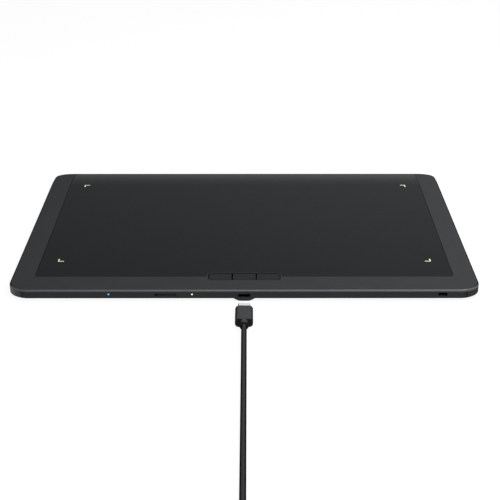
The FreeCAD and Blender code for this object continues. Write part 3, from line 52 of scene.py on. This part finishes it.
class Tree:
    """A node tree. A value given to it is another node's output, a number or a colour."""

    def __init__(self, tree):
        self.nodes = tree.nodes
        self.links = tree.links

    def feed(self, socket, value):
        """Gives a socket its value."""
        if isinstance(value, bpy.types.NodeSocket):
            self.links.new(value, socket)
        else:
            socket.default_value = value

    def add(self, kind, inputs=None, **settings):
        """A new node with its settings and with values for its inputs, by name or number."""
        node = self.nodes.new(kind)
        for name, setting in settings.items():
            setattr(node, name, setting)
        for key, value in (inputs or {}).items():
            self.feed(node.inputs[key], value)
        return node

    def maths(self, operation, *values):
        """Result of one operation on some values."""
        return self.add("ShaderNodeMath", dict(enumerate(values)), operation=operation).outputs[0]

    def span(self, value, start, end, low=0.0, high=1.0):
        """Goes from low to high while a value goes from start to end, and no further."""
        return self.add("ShaderNodeMapRange", {
            "Value": value, "From Min": start, "From Max": end, "To Min": low, "To Max": high,
        }).outputs[0]

    def parts(self, vector):
        """A vector's X, Y and Z."""
        return self.add("ShaderNodeSeparateXYZ", {0: vector}).outputs

    def by_ray(self, others, seen, *kinds):
        """One level for camera rays and the named kinds, another for the rest."""
        ray = self.add("ShaderNodeLightPath").outputs
        chosen = ray["Is Camera Ray"]
        for kind in kinds:
            chosen = self.maths("MAXIMUM", chosen, ray[kind])
        return self.span(chosen, 0.0, 1.0, others, seen)


def shade(red, green, blue):
    """A colour given as it shows on a screen, 0 to 255, in linear light."""
    parts = []
    for value in (red, green, blue):
        part = value / 255
        parts.append(part / 12.92 if part <= 0.04045 else ((part + 0.055) / 1.055) ** 2.4)
    return tuple(parts)


# Camera and light. Angles are in degrees.

CAMERA_AT = (0.0032, -0.8013, 0.35287)
LOOKS_DOWN = 24.597
TURNED_RIGHT = 0.058
FOCAL_PIXELS = 1143.46
FRAME_PIXELS = 500
SENSOR_MM = 36.0
NEAREST = 0.05
FARTHEST = 60.0

AMBIENT = 0.2
WHITE = 1.0
# gloss sees the studio go from the left level to the right one between these ways
LEFT_WAY, LEFT_LEVEL = -0.22, 0.74
RIGHT_WAY, RIGHT_LEVEL = 0.08, 1.1

FLOOR_HALF = 20.0
FLOOR_PAINT = 0.18
FLOOR_GLOW = 0.92
FLOOR_BOUNCE = 0.4


def make_camera():
    """The photograph's viewpoint and field of view."""
    data = bpy.data.cameras.new("camera")
    data.sensor_width = SENSOR_MM
    data.lens = FOCAL_PIXELS / FRAME_PIXELS * SENSOR_MM
    data.clip_start, data.clip_end = NEAREST, FARTHEST
    camera = bpy.data.objects.new("camera", data)
    camera.location = CAMERA_AT
    camera.rotation_euler = (math.radians(90 - LOOKS_DOWN), 0, math.radians(-TURNED_RIGHT))
    SCENE.collection.objects.link(camera)
    SCENE.camera = camera


def make_lamp(name, at, aim, wide, deep, watts):
    """A soft white box at one place, aimed at another."""
    data = bpy.data.lights.new(name, "AREA")
    data.shape = "RECTANGLE"
    data.size, data.size_y = wide, deep
    data.energy = watts
    lamp = bpy.data.objects.new(name, data)
    lamp.location = at
    way = Vector(aim) - Vector(at)
    lamp.rotation_euler = way.to_track_quat("-Z", "Y").to_euler()
    SCENE.collection.objects.link(lamp)


def make_world():
    """A white studio that lights the object only dimly, and that gloss sees greyer on its left."""
    world = bpy.data.worlds.new("studio")
    world.use_nodes = True
    tree = Tree(world.node_tree)
    across = tree.parts(tree.add("ShaderNodeTexCoord").outputs["Generated"])["X"]
    grade = tree.span(across, LEFT_WAY, RIGHT_WAY, LEFT_LEVEL, RIGHT_LEVEL)
    glossy = tree.add("ShaderNodeLightPath").outputs["Is Glossy Ray"]
    seen = tree.maths("MAXIMUM", grade, tree.maths("SUBTRACT", WHITE, glossy))
    level = tree.by_ray(AMBIENT, seen, "Is Glossy Ray", "Is Transmission Ray")
    background = tree.nodes["Background"].inputs
    tree.feed(background["Strength"], level)
    tree.feed(background["Color"], (1.0, 1.0, 1.0, 1.0))
    SCENE.world = world


def make_floor():
    """A plain white floor that keeps the object's soft shadow."""
    near, far = -FLOOR_HALF, FLOOR_HALF
    mesh = bpy.data.meshes.new("floor")
    mesh.from_pydata([(near, near, 0), (far, near, 0), (far, far, 0), (near, far, 0)], [],
                     [(0, 1, 2, 3)])
    floor = bpy.data.objects.new("floor", mesh)
    SCENE.collection.objects.link(floor)
    material = bpy.data.materials.new("floor_white")
    material.use_nodes = True
    tree = Tree(material.node_tree)
    tree.nodes.remove(tree.nodes["Principled BSDF"])
    colour = (FLOOR_PAINT, FLOOR_PAINT, FLOOR_PAINT, 1.0)
    paint = tree.add("ShaderNodeBsdfDiffuse", {"Color": colour})
    level = tree.by_ray(FLOOR_BOUNCE, FLOOR_GLOW, "Is Transmission Ray")
    glow = tree.add("ShaderNodeEmission", {"Strength": level})
    both = tree.add("ShaderNodeAddShader", {0: paint.outputs[0], 1: glow.outputs[0]})
    tree.feed(tree.nodes["Material Output"].inputs["Surface"], both.outputs[0])
    mesh.materials.append(material)


# Materials

# most of a noise lies between these two values
NOISE_LOW = 0.3
NOISE_HIGH = 0.7
# radians that a wave texture of scale 1 turns in each metre
WAVE_RATE = 20
MOTTLE = 0.08

# where the rim's near and far walls begin, where its sides begin to bend, and the film's edges
RIM_Y = 114.4 * MM
BEND_X = 150 * MM
FILM_EDGE_X = 143.6 * MM
FILM_EDGE_Y = 112.3 * MM
LINE_WIDE = 0.05 * MM
PIN_REACH = 0.8 * MM
BURNISH_ROUGHNESS = 0.38
BURNISH_IOR = 1.65
IN_SHADE = shade(12, 12, 13)


class Finish(Tree):
    """A node material: a principled shader whose colour, gloss and surface come from patterns."""

    def __init__(self, name, roughness, metallic=0.0, specular=0.5):
        self.material = bpy.data.materials.new(name)
        self.material.use_nodes = True
        super().__init__(self.material.node_tree)
        self.shader = self.nodes["Principled BSDF"]
        self.give("Roughness", roughness)
        self.give("Metallic", metallic)
        self.give("Specular IOR Level", specular)
        self.place = self.add("ShaderNodeTexCoord").outputs["Object"]

    def give(self, name, value):
        """Sets one of the shader's inputs."""
        self.feed(self.shader.inputs[name], value)

    def given(self, name):
        """What one of the shader's inputs is linked to, if anything."""
        links = self.shader.inputs[name].links
        return links[0].from_socket if links else None

    def noise(self, size, detail=2.0, stretch=None):
        """Soft noise with lumps of about one size, stretched where an axis has a scale below 1."""
        place = self.place
        if stretch:
            place = self.add("ShaderNodeMapping", {"Vector": place, "Scale": stretch}).outputs[0]
        return self.add("ShaderNodeTexNoise", {
            "Vector": place, "Scale": 1.0 / size, "Detail": detail,
        }).outputs["Fac"]

    def cells(self, size):
        """Rounded cells of one size, higher in their middles."""
        return self.add("ShaderNodeTexVoronoi", {
            "Vector": self.place, "Scale": 1.0 / size,
        }).outputs["Distance"]

    def waves(self, size, axis="X"):
        """Parallel bands, one every size."""
        return self.add("ShaderNodeTexWave", {
            "Vector": self.place, "Scale": 1.0 / size / WAVE_RATE * 2 * math.pi,
        }, wave_type="BANDS", bands_direction=axis).outputs["Fac"]

    def located(self):
        """The place in space as its three lengths."""
        return self.parts(self.place)

    def facing(self):
        """Parts of the way that the surface faces: Z is 1 where it faces up."""
        return self.parts(self.add("ShaderNodeNewGeometry").outputs["Normal"])

    def unsigned(self, value):
        """A value without its sign."""
        return self.maths("ABSOLUTE", value)

    def where(self, *spans):
        """Is 1 where every value is past its end and 0 short of any start: (value, start, end)."""
        share = self.span(*spans[0])
        for each in spans[1:]:
            share = self.maths("MULTIPLY", share, self.span(*each))
        return share

    def ramp(self, value, *stops):
        """Colours along a value from 0 to 1, as (place, colour)."""
        node = self.add("ShaderNodeValToRGB", {0: value})
        elements = node.color_ramp.elements
        while len(elements) < len(stops):
            elements.new(0.5)
        for element, (place, colour) in zip(elements, stops):
            element.position = place
            element.color = (*colour, 1.0)
        return node.outputs["Color"]

    def colour(self, value, *stops):
        """Base colour along a value, as (place, colour)."""
        self.give("Base Color", self.ramp(value, *stops))

    def painted_light_upward(self, size, *stops):
        """Paints light and shade into the colour by how far the surface faces up, mottled with
        lumps of one size.
        """
        upward = self.maths("MULTIPLY_ADD", self.noise(size, 3.0), MOTTLE, self.facing()["Z"])
        self.colour(upward, *stops)

    def tint(self, value, colour, spread):
        """One colour that gets a little darker and lighter with a pattern."""
        dark = tuple(c * (1 - spread) for c in colour)
        light = tuple(c * (1 + spread) for c in colour)
        self.colour(value, (NOISE_LOW, dark), (NOISE_HIGH, light))

    def cover(self, share, colour):
        """Lays one colour over the base colour where the share is 1."""
        self.give("Base Color", self.add("ShaderNodeMixRGB", {
            "Fac": share, "Color1": self.given("Base Color"), "Color2": (*colour, 1.0),
        }).outputs[0])

    def gloss(self, value, low, high):
        """Roughness that follows a pattern."""
        self.give("Roughness", self.span(value, NOISE_LOW, NOISE_HIGH, low, high))

    def bump(self, value, depth, strength=1.0):
        """Raises the surface with a pattern, on top of any bump made before."""
        node = self.add("ShaderNodeBump", {
            "Height": value, "Distance": depth, "Strength": strength,
        })
        before = self.given("Normal")
        if before:
            self.feed(node.inputs["Normal"], before)
        self.give("Normal", node.outputs[0])

    def glow(self, colour, strength):
        """Light of one colour all over."""
        self.give("Emission Color", (*colour, 1.0))
        self.give("Emission Strength", strength)


def moulded(name, colour, roughness, specular, grain, depth):
    """Moulded plastic with a fine spark-eroded grain."""
    finish = Finish(name, roughness, specular=specular)
    finish.tint(finish.noise(14 * MM, 4.0), colour, 0.035)
    finish.gloss(finish.noise(3 * MM, 3.0), roughness - 0.04, roughness + 0.04)
    finish.bump(finish.noise(1.6 * MM, 3.0), depth * 1.5, 0.35)
    finish.bump(finish.cells(grain), depth)
    return finish


def brushed(name, colour, roughness, stretch, grain):
    """Metal with fine lines along one axis."""
    finish = Finish(name, roughness, metallic=1.0)
    lines = finish.noise(grain, 3.0, stretch)
    finish.tint(lines, colour, 0.06)
    finish.gloss(lines, roughness - 0.06, roughness + 0.08)
    finish.bump(lines, 0.002 * MM)
    return finish


def case_plastic():
    """Fine-grained plastic: near rounded edges burnished, painted shade on its other rounded edges
    and inside its openings.
    """
    finish = moulded("case_plastic_finish", shade(65, 67, 69), 0.7, 0.008, 0.22 * MM, 0.006 * MM)
    facing, place = finish.facing(), finish.located()
    burnished = finish.where((facing["Z"], 0.0, 0.12), (facing["Z"], 0.95, 0.8),
                             (facing["Y"], -0.2, -0.6))
    left_bend = finish.where((facing["X"], -0.2, -0.7), (facing["Y"], -0.1, -0.5),
                             (facing["Z"], 0.8, 0.4))
    finish.give("Coat Weight", finish.maths("MAXIMUM", burnished, left_bend))
    finish.give("Coat Roughness", BURNISH_ROUGHNESS)
    finish.give("Coat IOR", BURNISH_IOR)
    # painted shade: rounded edges that face sideways or away are darkened to stand in for shade
    painted_edge_shade = finish.where((facing["Z"], 0.1, 0.3), (facing["Z"], 0.995, 0.93),
                        (facing["Y"], -0.4, -0.1))
    finish.cover(painted_edge_shade, shade(20, 21, 22))
    # painted shade on the upright walls inside the rim's openings
    painted_opening_shade = finish.where((finish.unsigned(facing["Z"]), 0.6, 0.2),
                               (finish.unsigned(place["Y"]), RIM_Y, RIM_Y - MM),
                               (finish.unsigned(place["X"]), BEND_X + MM, BEND_X))
    finish.cover(painted_opening_shade, IN_SHADE)
    return finish


def film():
    """Drawing film: a hard coat with a fine even tooth, and a dark line along its cut edges."""
    finish = Finish("film_finish", 0.3, specular=0.014)
    finish.tint(finish.noise(20 * MM, 3.0), shade(31, 34, 36), 0.03)
    finish.gloss(finish.noise(0.8 * MM, 2.0), 0.27, 0.33)
    finish.bump(finish.noise(0.16 * MM, 2.0), 0.01 * MM)
    place = finish.located()
    for value, edge in ((finish.unsigned(place["X"]), FILM_EDGE_X), (place["Y"], FILM_EDGE_Y)):
        finish.cover(finish.span(value, edge - LINE_WIDE, edge), IN_SHADE)
    return finish


def key_plastic():
    """Satin plastic, with painted shade down the sides of the keys."""
    finish = moulded("key_plastic_finish", shade(42, 44, 45), 0.6, 0.03, 0.18 * MM, 0.004 * MM)
    # painted shade where the keys' surface turns down their sides
    finish.cover(finish.span(finish.facing()["Z"], 0.95, 0.7), IN_SHADE)
    return finish


def knob_plastic():
    return moulded("knob_plastic_finish", shade(54, 55, 56), 0.5, 0.06, 0.15 * MM, 0.004 * MM)


def light_guide():
    """Milky diffuser of a lit corner mark."""
    finish = Finish("light_guide_finish", 0.35, specular=0.4)
    finish.tint(finish.noise(1.2 * MM), shade(215, 219, 190), 0.05)
    finish.glow(shade(232, 237, 196), 0.32)
    return finish


def lit_pin(name, node, core, edge, strength):
    """End of a round light guide: pale in the middle, deeper in colour at its edge."""
    low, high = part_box(node)
    middle = (low + high) / 2
    finish = Finish(name, 0.25, specular=0.5)
    across = finish.add("ShaderNodeVectorMath", {0: finish.place, 1: (1.0, 0.0, 1.0)},
                        operation="MULTIPLY").outputs[0]
    away = finish.add("ShaderNodeVectorMath", {0: across, 1: (middle.x, 0.0, middle.z)},
                      operation="DISTANCE").outputs["Value"]
    light = finish.ramp(finish.maths("DIVIDE", away, PIN_REACH), (0.35, core), (0.8, edge))
    finish.give("Base Color", light)
    finish.give("Emission Color", light)
    finish.give("Emission Strength", strength)
    return finish


def blue_guide():
    return lit_pin("blue_guide_finish", "link_light_guide",
                   shade(110, 185, 235), shade(12, 70, 130), 1.15)


def green_guide():
    return lit_pin("green_guide_finish", "power_light_guide",
                   shade(235, 255, 225), shade(45, 130, 40), 1.0)


def rubber():
    finish = Finish("rubber_finish", 0.8, specular=0.25)
    finish.tint(finish.noise(2 * MM, 4.0), shade(36, 36, 38), 0.1)
    finish.bump(finish.noise(0.25 * MM, 3.0), 0.02 * MM)
    return finish


def board():
    """Green solder mask with fine copper tracks under it."""
    finish = Finish("board_finish", 0.35, specular=0.5)
    tracks = finish.waves(1.3 * MM)
    finish.colour(tracks, (0.45, shade(16, 66, 44)), (0.62, shade(28, 92, 60)))
    finish.bump(tracks, 0.03 * MM)
    return finish


def chip():
    return moulded("chip_finish", shade(30, 30, 32), 0.55, 0.4, 0.1 * MM, 0.004 * MM)


def connector():
    return moulded("connector_finish", shade(214, 206, 186), 0.5, 0.4, 0.1 * MM, 0.003 * MM)


def shield():
    return brushed("shield_finish", shade(186, 188, 190), 0.42, (0.06, 1, 1), 0.3 * MM)


def steel():
    return brushed("steel_finish", shade(168, 170, 172), 0.38, (0.06, 1, 1), 0.25 * MM)


def plated_steel():
    return brushed("plated_steel_finish", shade(222, 222, 225), 0.22, (1, 0.08, 1), 0.12 * MM)


def dark_steel():
    """Dark steel sheet behind the rim's openings."""
    return brushed("dark_steel_finish", shade(42, 42, 44), 0.5, (0.06, 1, 1), 0.25 * MM)


def screw_steel():
    return brushed("screw_steel_finish", shade(120, 120, 124), 0.34, (1, 1, 1), 0.2 * MM)


def insulator():
    return moulded("insulator_finish", shade(22, 22, 23), 0.45, 0.4, 0.1 * MM, 0.003 * MM)


def white_insulator():
    return moulded("white_insulator_finish", shade(226, 226, 222), 0.45, 0.4, 0.1 * MM, 0.003 * MM)


def contact():
    return brushed("contact_finish", shade(232, 190, 106), 0.25, (1, 0.1, 1), 0.1 * MM)


def flex():
    """Polyimide ribbon with copper lines that run along it."""
    finish = Finish("flex_finish", 0.32, specular=0.5)
    lines = finish.waves(1.0 * MM)
    finish.colour(lines, (0.42, shade(150, 84, 20)), (0.6, shade(196, 128, 52)))
    finish.bump(lines, 0.02 * MM)
    return finish


def led():
    finish = Finish("led_finish", 0.3, specular=0.5)
    finish.tint(finish.noise(0.5 * MM), shade(236, 220, 130), 0.06)
    return finish


def cell():
    """Wrinkled aluminium pouch of the battery."""
    finish = Finish("cell_finish", 0.4, metallic=0.7)
    creases = finish.noise(9 * MM, 5.0)
    finish.tint(creases, shade(176, 178, 182), 0.06)
    finish.gloss(creases, 0.34, 0.5)
    finish.bump(creases, 0.25 * MM)
    return finish


def wire():
    """One red and one black lead, told apart by their side of the connector."""
    low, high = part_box("battery_wires")
    finish = Finish("wire_finish", 0.4, specular=0.4)
    side = finish.span(finish.located()["X"], low.x, high.x)
    finish.colour(side, (0.49, shade(24, 24, 25)), (0.51, shade(176, 24, 22)))
    finish.bump(finish.noise(0.4 * MM), 0.004 * MM)
    return finish


def cable_jacket():
    """Soft matte jacket of the lead, with a painted highlight along its top and painted shade down
    its sides.
    """
    finish = Finish("cable_jacket_finish", 0.5, specular=0.0)
    # painted light and shade: near black down the sides as painted shade, lighter along the top as
    # a painted highlight
    finish.painted_light_upward(6 * MM, (0.5, shade(14, 14, 15)), (0.8, shade(32, 32, 34)),
                         (1.0, shade(66, 66, 68)))
    finish.gloss(finish.noise(2 * MM, 3.0), 0.44, 0.56)
    finish.bump(finish.noise(0.2 * MM, 2.0), 0.006 * MM)
    return finish


def mould():
    """Soft plastic around a plug, with a painted highlight on top and painted shade down its
    sides.
    """
    finish = Finish("mould_finish", 0.5, specular=0.01)
    # painted light and shade by facing: painted highlight on top, painted shade where the sides
    # turn down, upright faces lifted to stand in for light on them
    finish.painted_light_upward(5 * MM, (0.0, shade(46, 47, 49)), (0.5, shade(27, 27, 28)),
                         (0.8, shade(52, 53, 54)), (1.0, shade(75, 77, 78)))
    finish.gloss(finish.noise(2 * MM, 3.0), 0.46, 0.54)
    finish.bump(finish.cells(0.2 * MM), 0.006 * MM)
    return finish


def strap():
    """Woven strap: crossed ribs with a felted look."""
    finish = Finish("strap_finish", 0.85, specular=0.2)
    finish.tint(finish.noise(0.6 * MM, 4.0), shade(30, 30, 31), 0.25)
    for axis in "XY":
        finish.bump(finish.waves(0.5 * MM, axis), 0.05 * MM)
    return finish


FINISHES = {f.__name__: f for f in (
    case_plastic, film, key_plastic, knob_plastic, light_guide, blue_guide, green_guide, rubber,
    board, chip, connector, shield, steel, plated_steel, dark_steel, screw_steel, insulator,
    white_insulator, contact, flex, led, cell, wire, cable_jacket, mould, strap,
)}
MADE = {}


def finish_of(slot):
    """The material of one of the record's slots, made once."""
    if slot not in MADE:
        MADE[slot] = FINISHES[slot]().material
    return MADE[slot]


def dress_nodes():
    """Gives each CAD node the finish of its slot."""
    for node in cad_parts.values():
        for place in node.material_slots:
            place.material = finish_of(place.material.name)


# Pieces made from meshes

SMOOTH_BELOW = 35


def bridge(mesh, first, second):
    """A band of faces between two loops with the same number of corners."""
    for k in range(len(first)):
        after = (k + 1) % len(first)
        mesh.faces.new((first[k], first[after], second[after], second[k]))


def finished(name, mesh, slot, body, *nodes):
    """A piece made from a mesh, dressed and riding on its body in the place of CAD nodes."""
    bmesh.ops.recalc_face_normals(mesh, faces=mesh.faces)
    data = bpy.data.meshes.new(name)
    mesh.to_mesh(data)
    mesh.free()
    data.materials.append(finish_of(slot))
    data.shade_smooth()
    data.set_sharp_from_angle(angle=math.radians(SMOOTH_BELOW))
    piece = bpy.data.objects.new(name, data)
    SCENE.collection.objects.link(piece)
    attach(piece, body)
    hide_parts(*nodes)
    return piece


# Strap

STRAP_THICK = 0.4 * MM
STRAP_CORNER = 1.6 * MM
STRAP_DOWN = 6 * MM
STRAP_TAPER = 0.72
CORNER_STEPS = 6
# corners of its section, in halves of its width and thickness
STRAP_SECTION = [(-1, -0.5), (-0.9, -1), (0.9, -1), (1, -0.5), (1, 0.5), (0.9, 1), (-0.9, 1),
                 (-1, 0.5)]


def strap_line(low, high):
    """Places round a loop with round corners and the way out at each, from its top middle on."""
    corner = STRAP_CORNER
    turns = [(high.y - corner, high.z - corner), (high.y - corner, low.z + corner),
             (low.y + corner, low.z + corner), (low.y + corner, high.z - corner)]
    top = (Vector((0, (low.y + high.y) / 2, high.z)), Vector((0, 0, 1)))
    line = [top]
    for number, (y, z) in enumerate(turns):
        for step in range(CORNER_STEPS + 1):
            angle = math.pi / 2 * (1 - number - step / CORNER_STEPS)
            way = Vector((0, math.cos(angle), math.sin(angle)))
            line.append((Vector((0, y, z)) + way * corner, way))
    return line


def make_strap():
    """A woven strap round the coil: it goes round once and its narrowed end lies on its start."""
    low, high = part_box("cable_tie")
    middle, half = (low.x + high.x) / 2, (high.x - low.x) / 2
    inset = Vector((0, STRAP_THICK / 2, STRAP_THICK / 2))
    line = strap_line(low + inset, high - inset)
    # the loose end climbs onto the start, goes over the first corner and down the far side
    over = [(place + way * STRAP_THICK, way) for place, way in line[:CORNER_STEPS + 2]]
    climb = 2 * STRAP_THICK
    over[0] = (over[0][0] - Vector((0, climb, 0)), over[0][1])
    last, way = over[-1]
    over += [(last - Vector((0, 0, down)), way) for down in (STRAP_DOWN - climb, STRAP_DOWN)]
    route = line + over
    widths = [half] * (len(route) - 1) + [half * STRAP_TAPER]
    mesh = bmesh.new()
    rings = []
    for (place, way), width in zip(route, widths):
        rings.append([mesh.verts.new(place + Vector((middle + width * x, 0, 0))
                                     + way * STRAP_THICK / 2 * y) for x, y in STRAP_SECTION])
    for first, second in zip(rings, rings[1:]):
        bridge(mesh, first, second)
    mesh.faces.new(rings[0])
    mesh.faces.new(reversed(rings[-1]))
    return finished("coil_strap", mesh, "strap", "usb_cable", "cable_tie")


# Cable

CORD_D = 3.6 * MM
CORD_STEPS = 6
LOOP_STEP = CORD_D + 0.55 * MM
LOOP_OUT_R = 23.65 * MM
LAYER_TURNS = 2.5
LAYERS = 4
CLIMB_TURNS = 0.5
CORNERS_PER_TURN = 16

# heights of the cord's middle: at the near plug, on the table, in the coil's lowest and
# highest layers, and at the far plug
NEAR_Z = 4.9 * MM
TABLE_Z = CORD_D / 2
FIRST_Z = TABLE_Z + 0.55 * MM
LAST_Z = FIRST_Z + (LAYERS - 1) * LOOP_STEP
FAR_Z = 3.9 * MM
COIL_AT = Vector((LOOP_OUT_R, -0.382, FIRST_Z))

ROUTE_TO_COIL = [
    (0, -0.1579, NEAR_Z),
    (0, -0.1699, NEAR_Z),
    (0, -0.1939, TABLE_Z),
    (0, -0.2181, TABLE_Z),
    (0, -0.3304, TABLE_Z),
    (0, -0.3484, TABLE_Z),
    (0, -0.3664, FIRST_Z),
    (0, -0.3784, FIRST_Z),
]
ROUTE_TO_PLUG = [
    (0, -0.3856, LAST_Z),
    (0, -0.3976, LAST_Z),
    (0, -0.4356, FAR_Z),
    (0, -0.4476, FAR_Z),
]


def coil_corner(turn):
    """Corner of the polygon around the wound cable, after a number of turns."""
    layer, part = divmod(turn, LAYER_TURNS)
    radius = LOOP_OUT_R - LOOP_STEP * (part if layer % 2 == 0 else LAYER_TURNS - part)
    nearest = round(turn / LAYER_TURNS)
    # each layer is climbed in the half turn around the spiral's reversal
    share = 0.5 + (turn - nearest * LAYER_TURNS) / CLIMB_TURNS
    level = min(layer, LAYERS - 1)
    if 0 < nearest < LAYERS and 0 < share < 1:
        level = nearest - 1 + share * share * (3 - 2 * share)
    angle = math.pi + 2 * math.pi * turn
    reach = radius / math.cos(math.pi / CORNERS_PER_TURN)
    return COIL_AT + Vector((reach * math.cos(angle), reach * math.sin(angle), level * LOOP_STEP))


def make_cable():
    """The lead from one plug to the other as one smooth round cord, wound up outside the view."""
    corners = round(CORNERS_PER_TURN * LAYER_TURNS * LAYERS)
    coil = [coil_corner((k + 0.5) / CORNERS_PER_TURN) for k in range(corners)]
    route = ROUTE_TO_COIL + [tuple(p) for p in coil] + ROUTE_TO_PLUG
    curve = bpy.data.curves.new("cable", "CURVE")
    curve.dimensions = "3D"
    curve.resolution_u = CORD_STEPS
    curve.bevel_depth = CORD_D / 2
    curve.bevel_resolution = CORD_STEPS
    curve.use_fill_caps = True
    spline = curve.splines.new("NURBS")
    spline.points.add(len(route) - 1)
    for point, place in zip(spline.points, route):
        point.co = (*place, 1.0)
    spline.order_u = 3
    spline.use_endpoint_u = True
    cable = bpy.data.objects.new("cable", curve)
    SCENE.collection.objects.link(cable)
    curve.materials.append(finish_of("cable_jacket"))
    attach(cable, "usb_cable")
    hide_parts("cable_cord", "cable_coil", "cable_tail")
    on_cord = ["usb_c_overmould", "usb_c_plug_shell", "usb_c_plug_insert", make_strap(),
               "usb_a_overmould", "usb_a_plug_shell", "usb_a_plug_insert", "usb_a_contacts"]


# Fastenings on the underside

SCREW_IN = 16 * MM
FAR_SCREW_X = 48 * MM
HEAD_D = 3.8 * MM
HEAD_TALL = 0.7 * MM
HEAD_EDGE = 0.25 * MM
HEAD_BEND = 0.3 * HEAD_EDGE
HEAD_CORNERS = 48
SHANK_D = 2.0 * MM
TIP_R = SHANK_D / 4
CROSS_LONG = 2.1 * MM
CROSS_WIDE = 0.5 * MM
CROSS_DEEP = 0.45 * MM
CROSS_BOTTOM = 0.7
FOOT_EDGE = 0.35 * MM
FOOT_STEPS = 3


def screw_places():
    """Middles of the ten heads in the bottom cover."""
    low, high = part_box("top_housing")
    left, right = low.x + SCREW_IN, high.x - SCREW_IN
    near, far = low.y + SCREW_IN, high.y - SCREW_IN
    places = [(x, near + (far - near) * k / 3) for x in (left, right) for k in range(4)]
    return places + [(-FAR_SCREW_X, far), (FAR_SCREW_X, far)]


def round_loop(mesh, x, y, z, radius):
    """The corners of a circle that lies flat."""
    turns = [2 * math.pi * k / HEAD_CORNERS for k in range(HEAD_CORNERS)]
    return [mesh.verts.new((x + radius * math.cos(turn), y + radius * math.sin(turn), z))
            for turn in turns]


def cross_loop(mesh, x, y, z, share):
    """The twelve corners of a cross, drawn in by a share towards its bottom."""
    long, wide = CROSS_LONG / 2 * share, CROSS_WIDE / 2 * share
    arm = [(long, -wide), (long, wide), (wide, wide)]
    loop = []
    for c, s in ((1, 0), (0, 1), (-1, 0), (0, -1)):
        loop += [mesh.verts.new((x + c * u - s * v, y + s * u + c * v, z)) for u, v in arm]
    return loop


def make_screws():
    """Cross-head screws whose heads lie flush in the bottom cover."""
    low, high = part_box("housing_screws")
    face, seat, tip = low.z, low.z + HEAD_TALL, high.z
    head_r, shank_r = HEAD_D / 2, SHANK_D / 2
    levels = [(face, head_r - HEAD_EDGE), (face + HEAD_BEND, head_r - HEAD_BEND),
              (face + HEAD_EDGE, head_r), (seat, head_r), (seat, shank_r),
              (tip - TIP_R, shank_r), (tip, TIP_R)]
    mesh = bmesh.new()
    for x, y in screw_places():
        loops = [round_loop(mesh, x, y, z, radius) for z, radius in levels]
        for first, second in zip(loops, loops[1:]):
            bridge(mesh, first, second)
        mesh.faces.new(loops[-1])
        mouth = cross_loop(mesh, x, y, face, 1.0)
        bottom = cross_loop(mesh, x, y, face + CROSS_DEEP, CROSS_BOTTOM)
        bridge(mesh, mouth, bottom)
        mesh.faces.new(bottom)
        rims = [mesh.edges.get((a, b)) for loop in (loops[0], mouth)
                for a, b in zip(loop, loop[1:] + loop[:1])]
        bmesh.ops.triangle_fill(mesh, use_beauty=True, edges=rims)
    finished("cross_head_screws", mesh, "screw_steel", "tablet", "housing_screws")


def soften_feet():
    """Takes the sharp edge off the moulded rubber feet."""
    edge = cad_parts["rubber_feet"].modifiers.new("soft_edge", "BEVEL")
    edge.width = FOOT_EDGE
    edge.segments = FOOT_STEPS
    edge.limit_method = "ANGLE"


SCENE.view_settings.view_transform = "Standard"
make_camera()
make_world()
make_floor()
make_lamp("front_light", at=(0.28, -0.62, 1.1), aim=(0.0, -0.05, 0.0),
          wide=1.2, deep=0.5, watts=5.8)
make_lamp("right_light", at=(0.42, 0.0, 0.62), aim=(0.5, 0.0, 0.0),
          wide=0.35, deep=0.35, watts=3.2)
dress_nodes()
make_cable()
make_screws()
soften_feet()
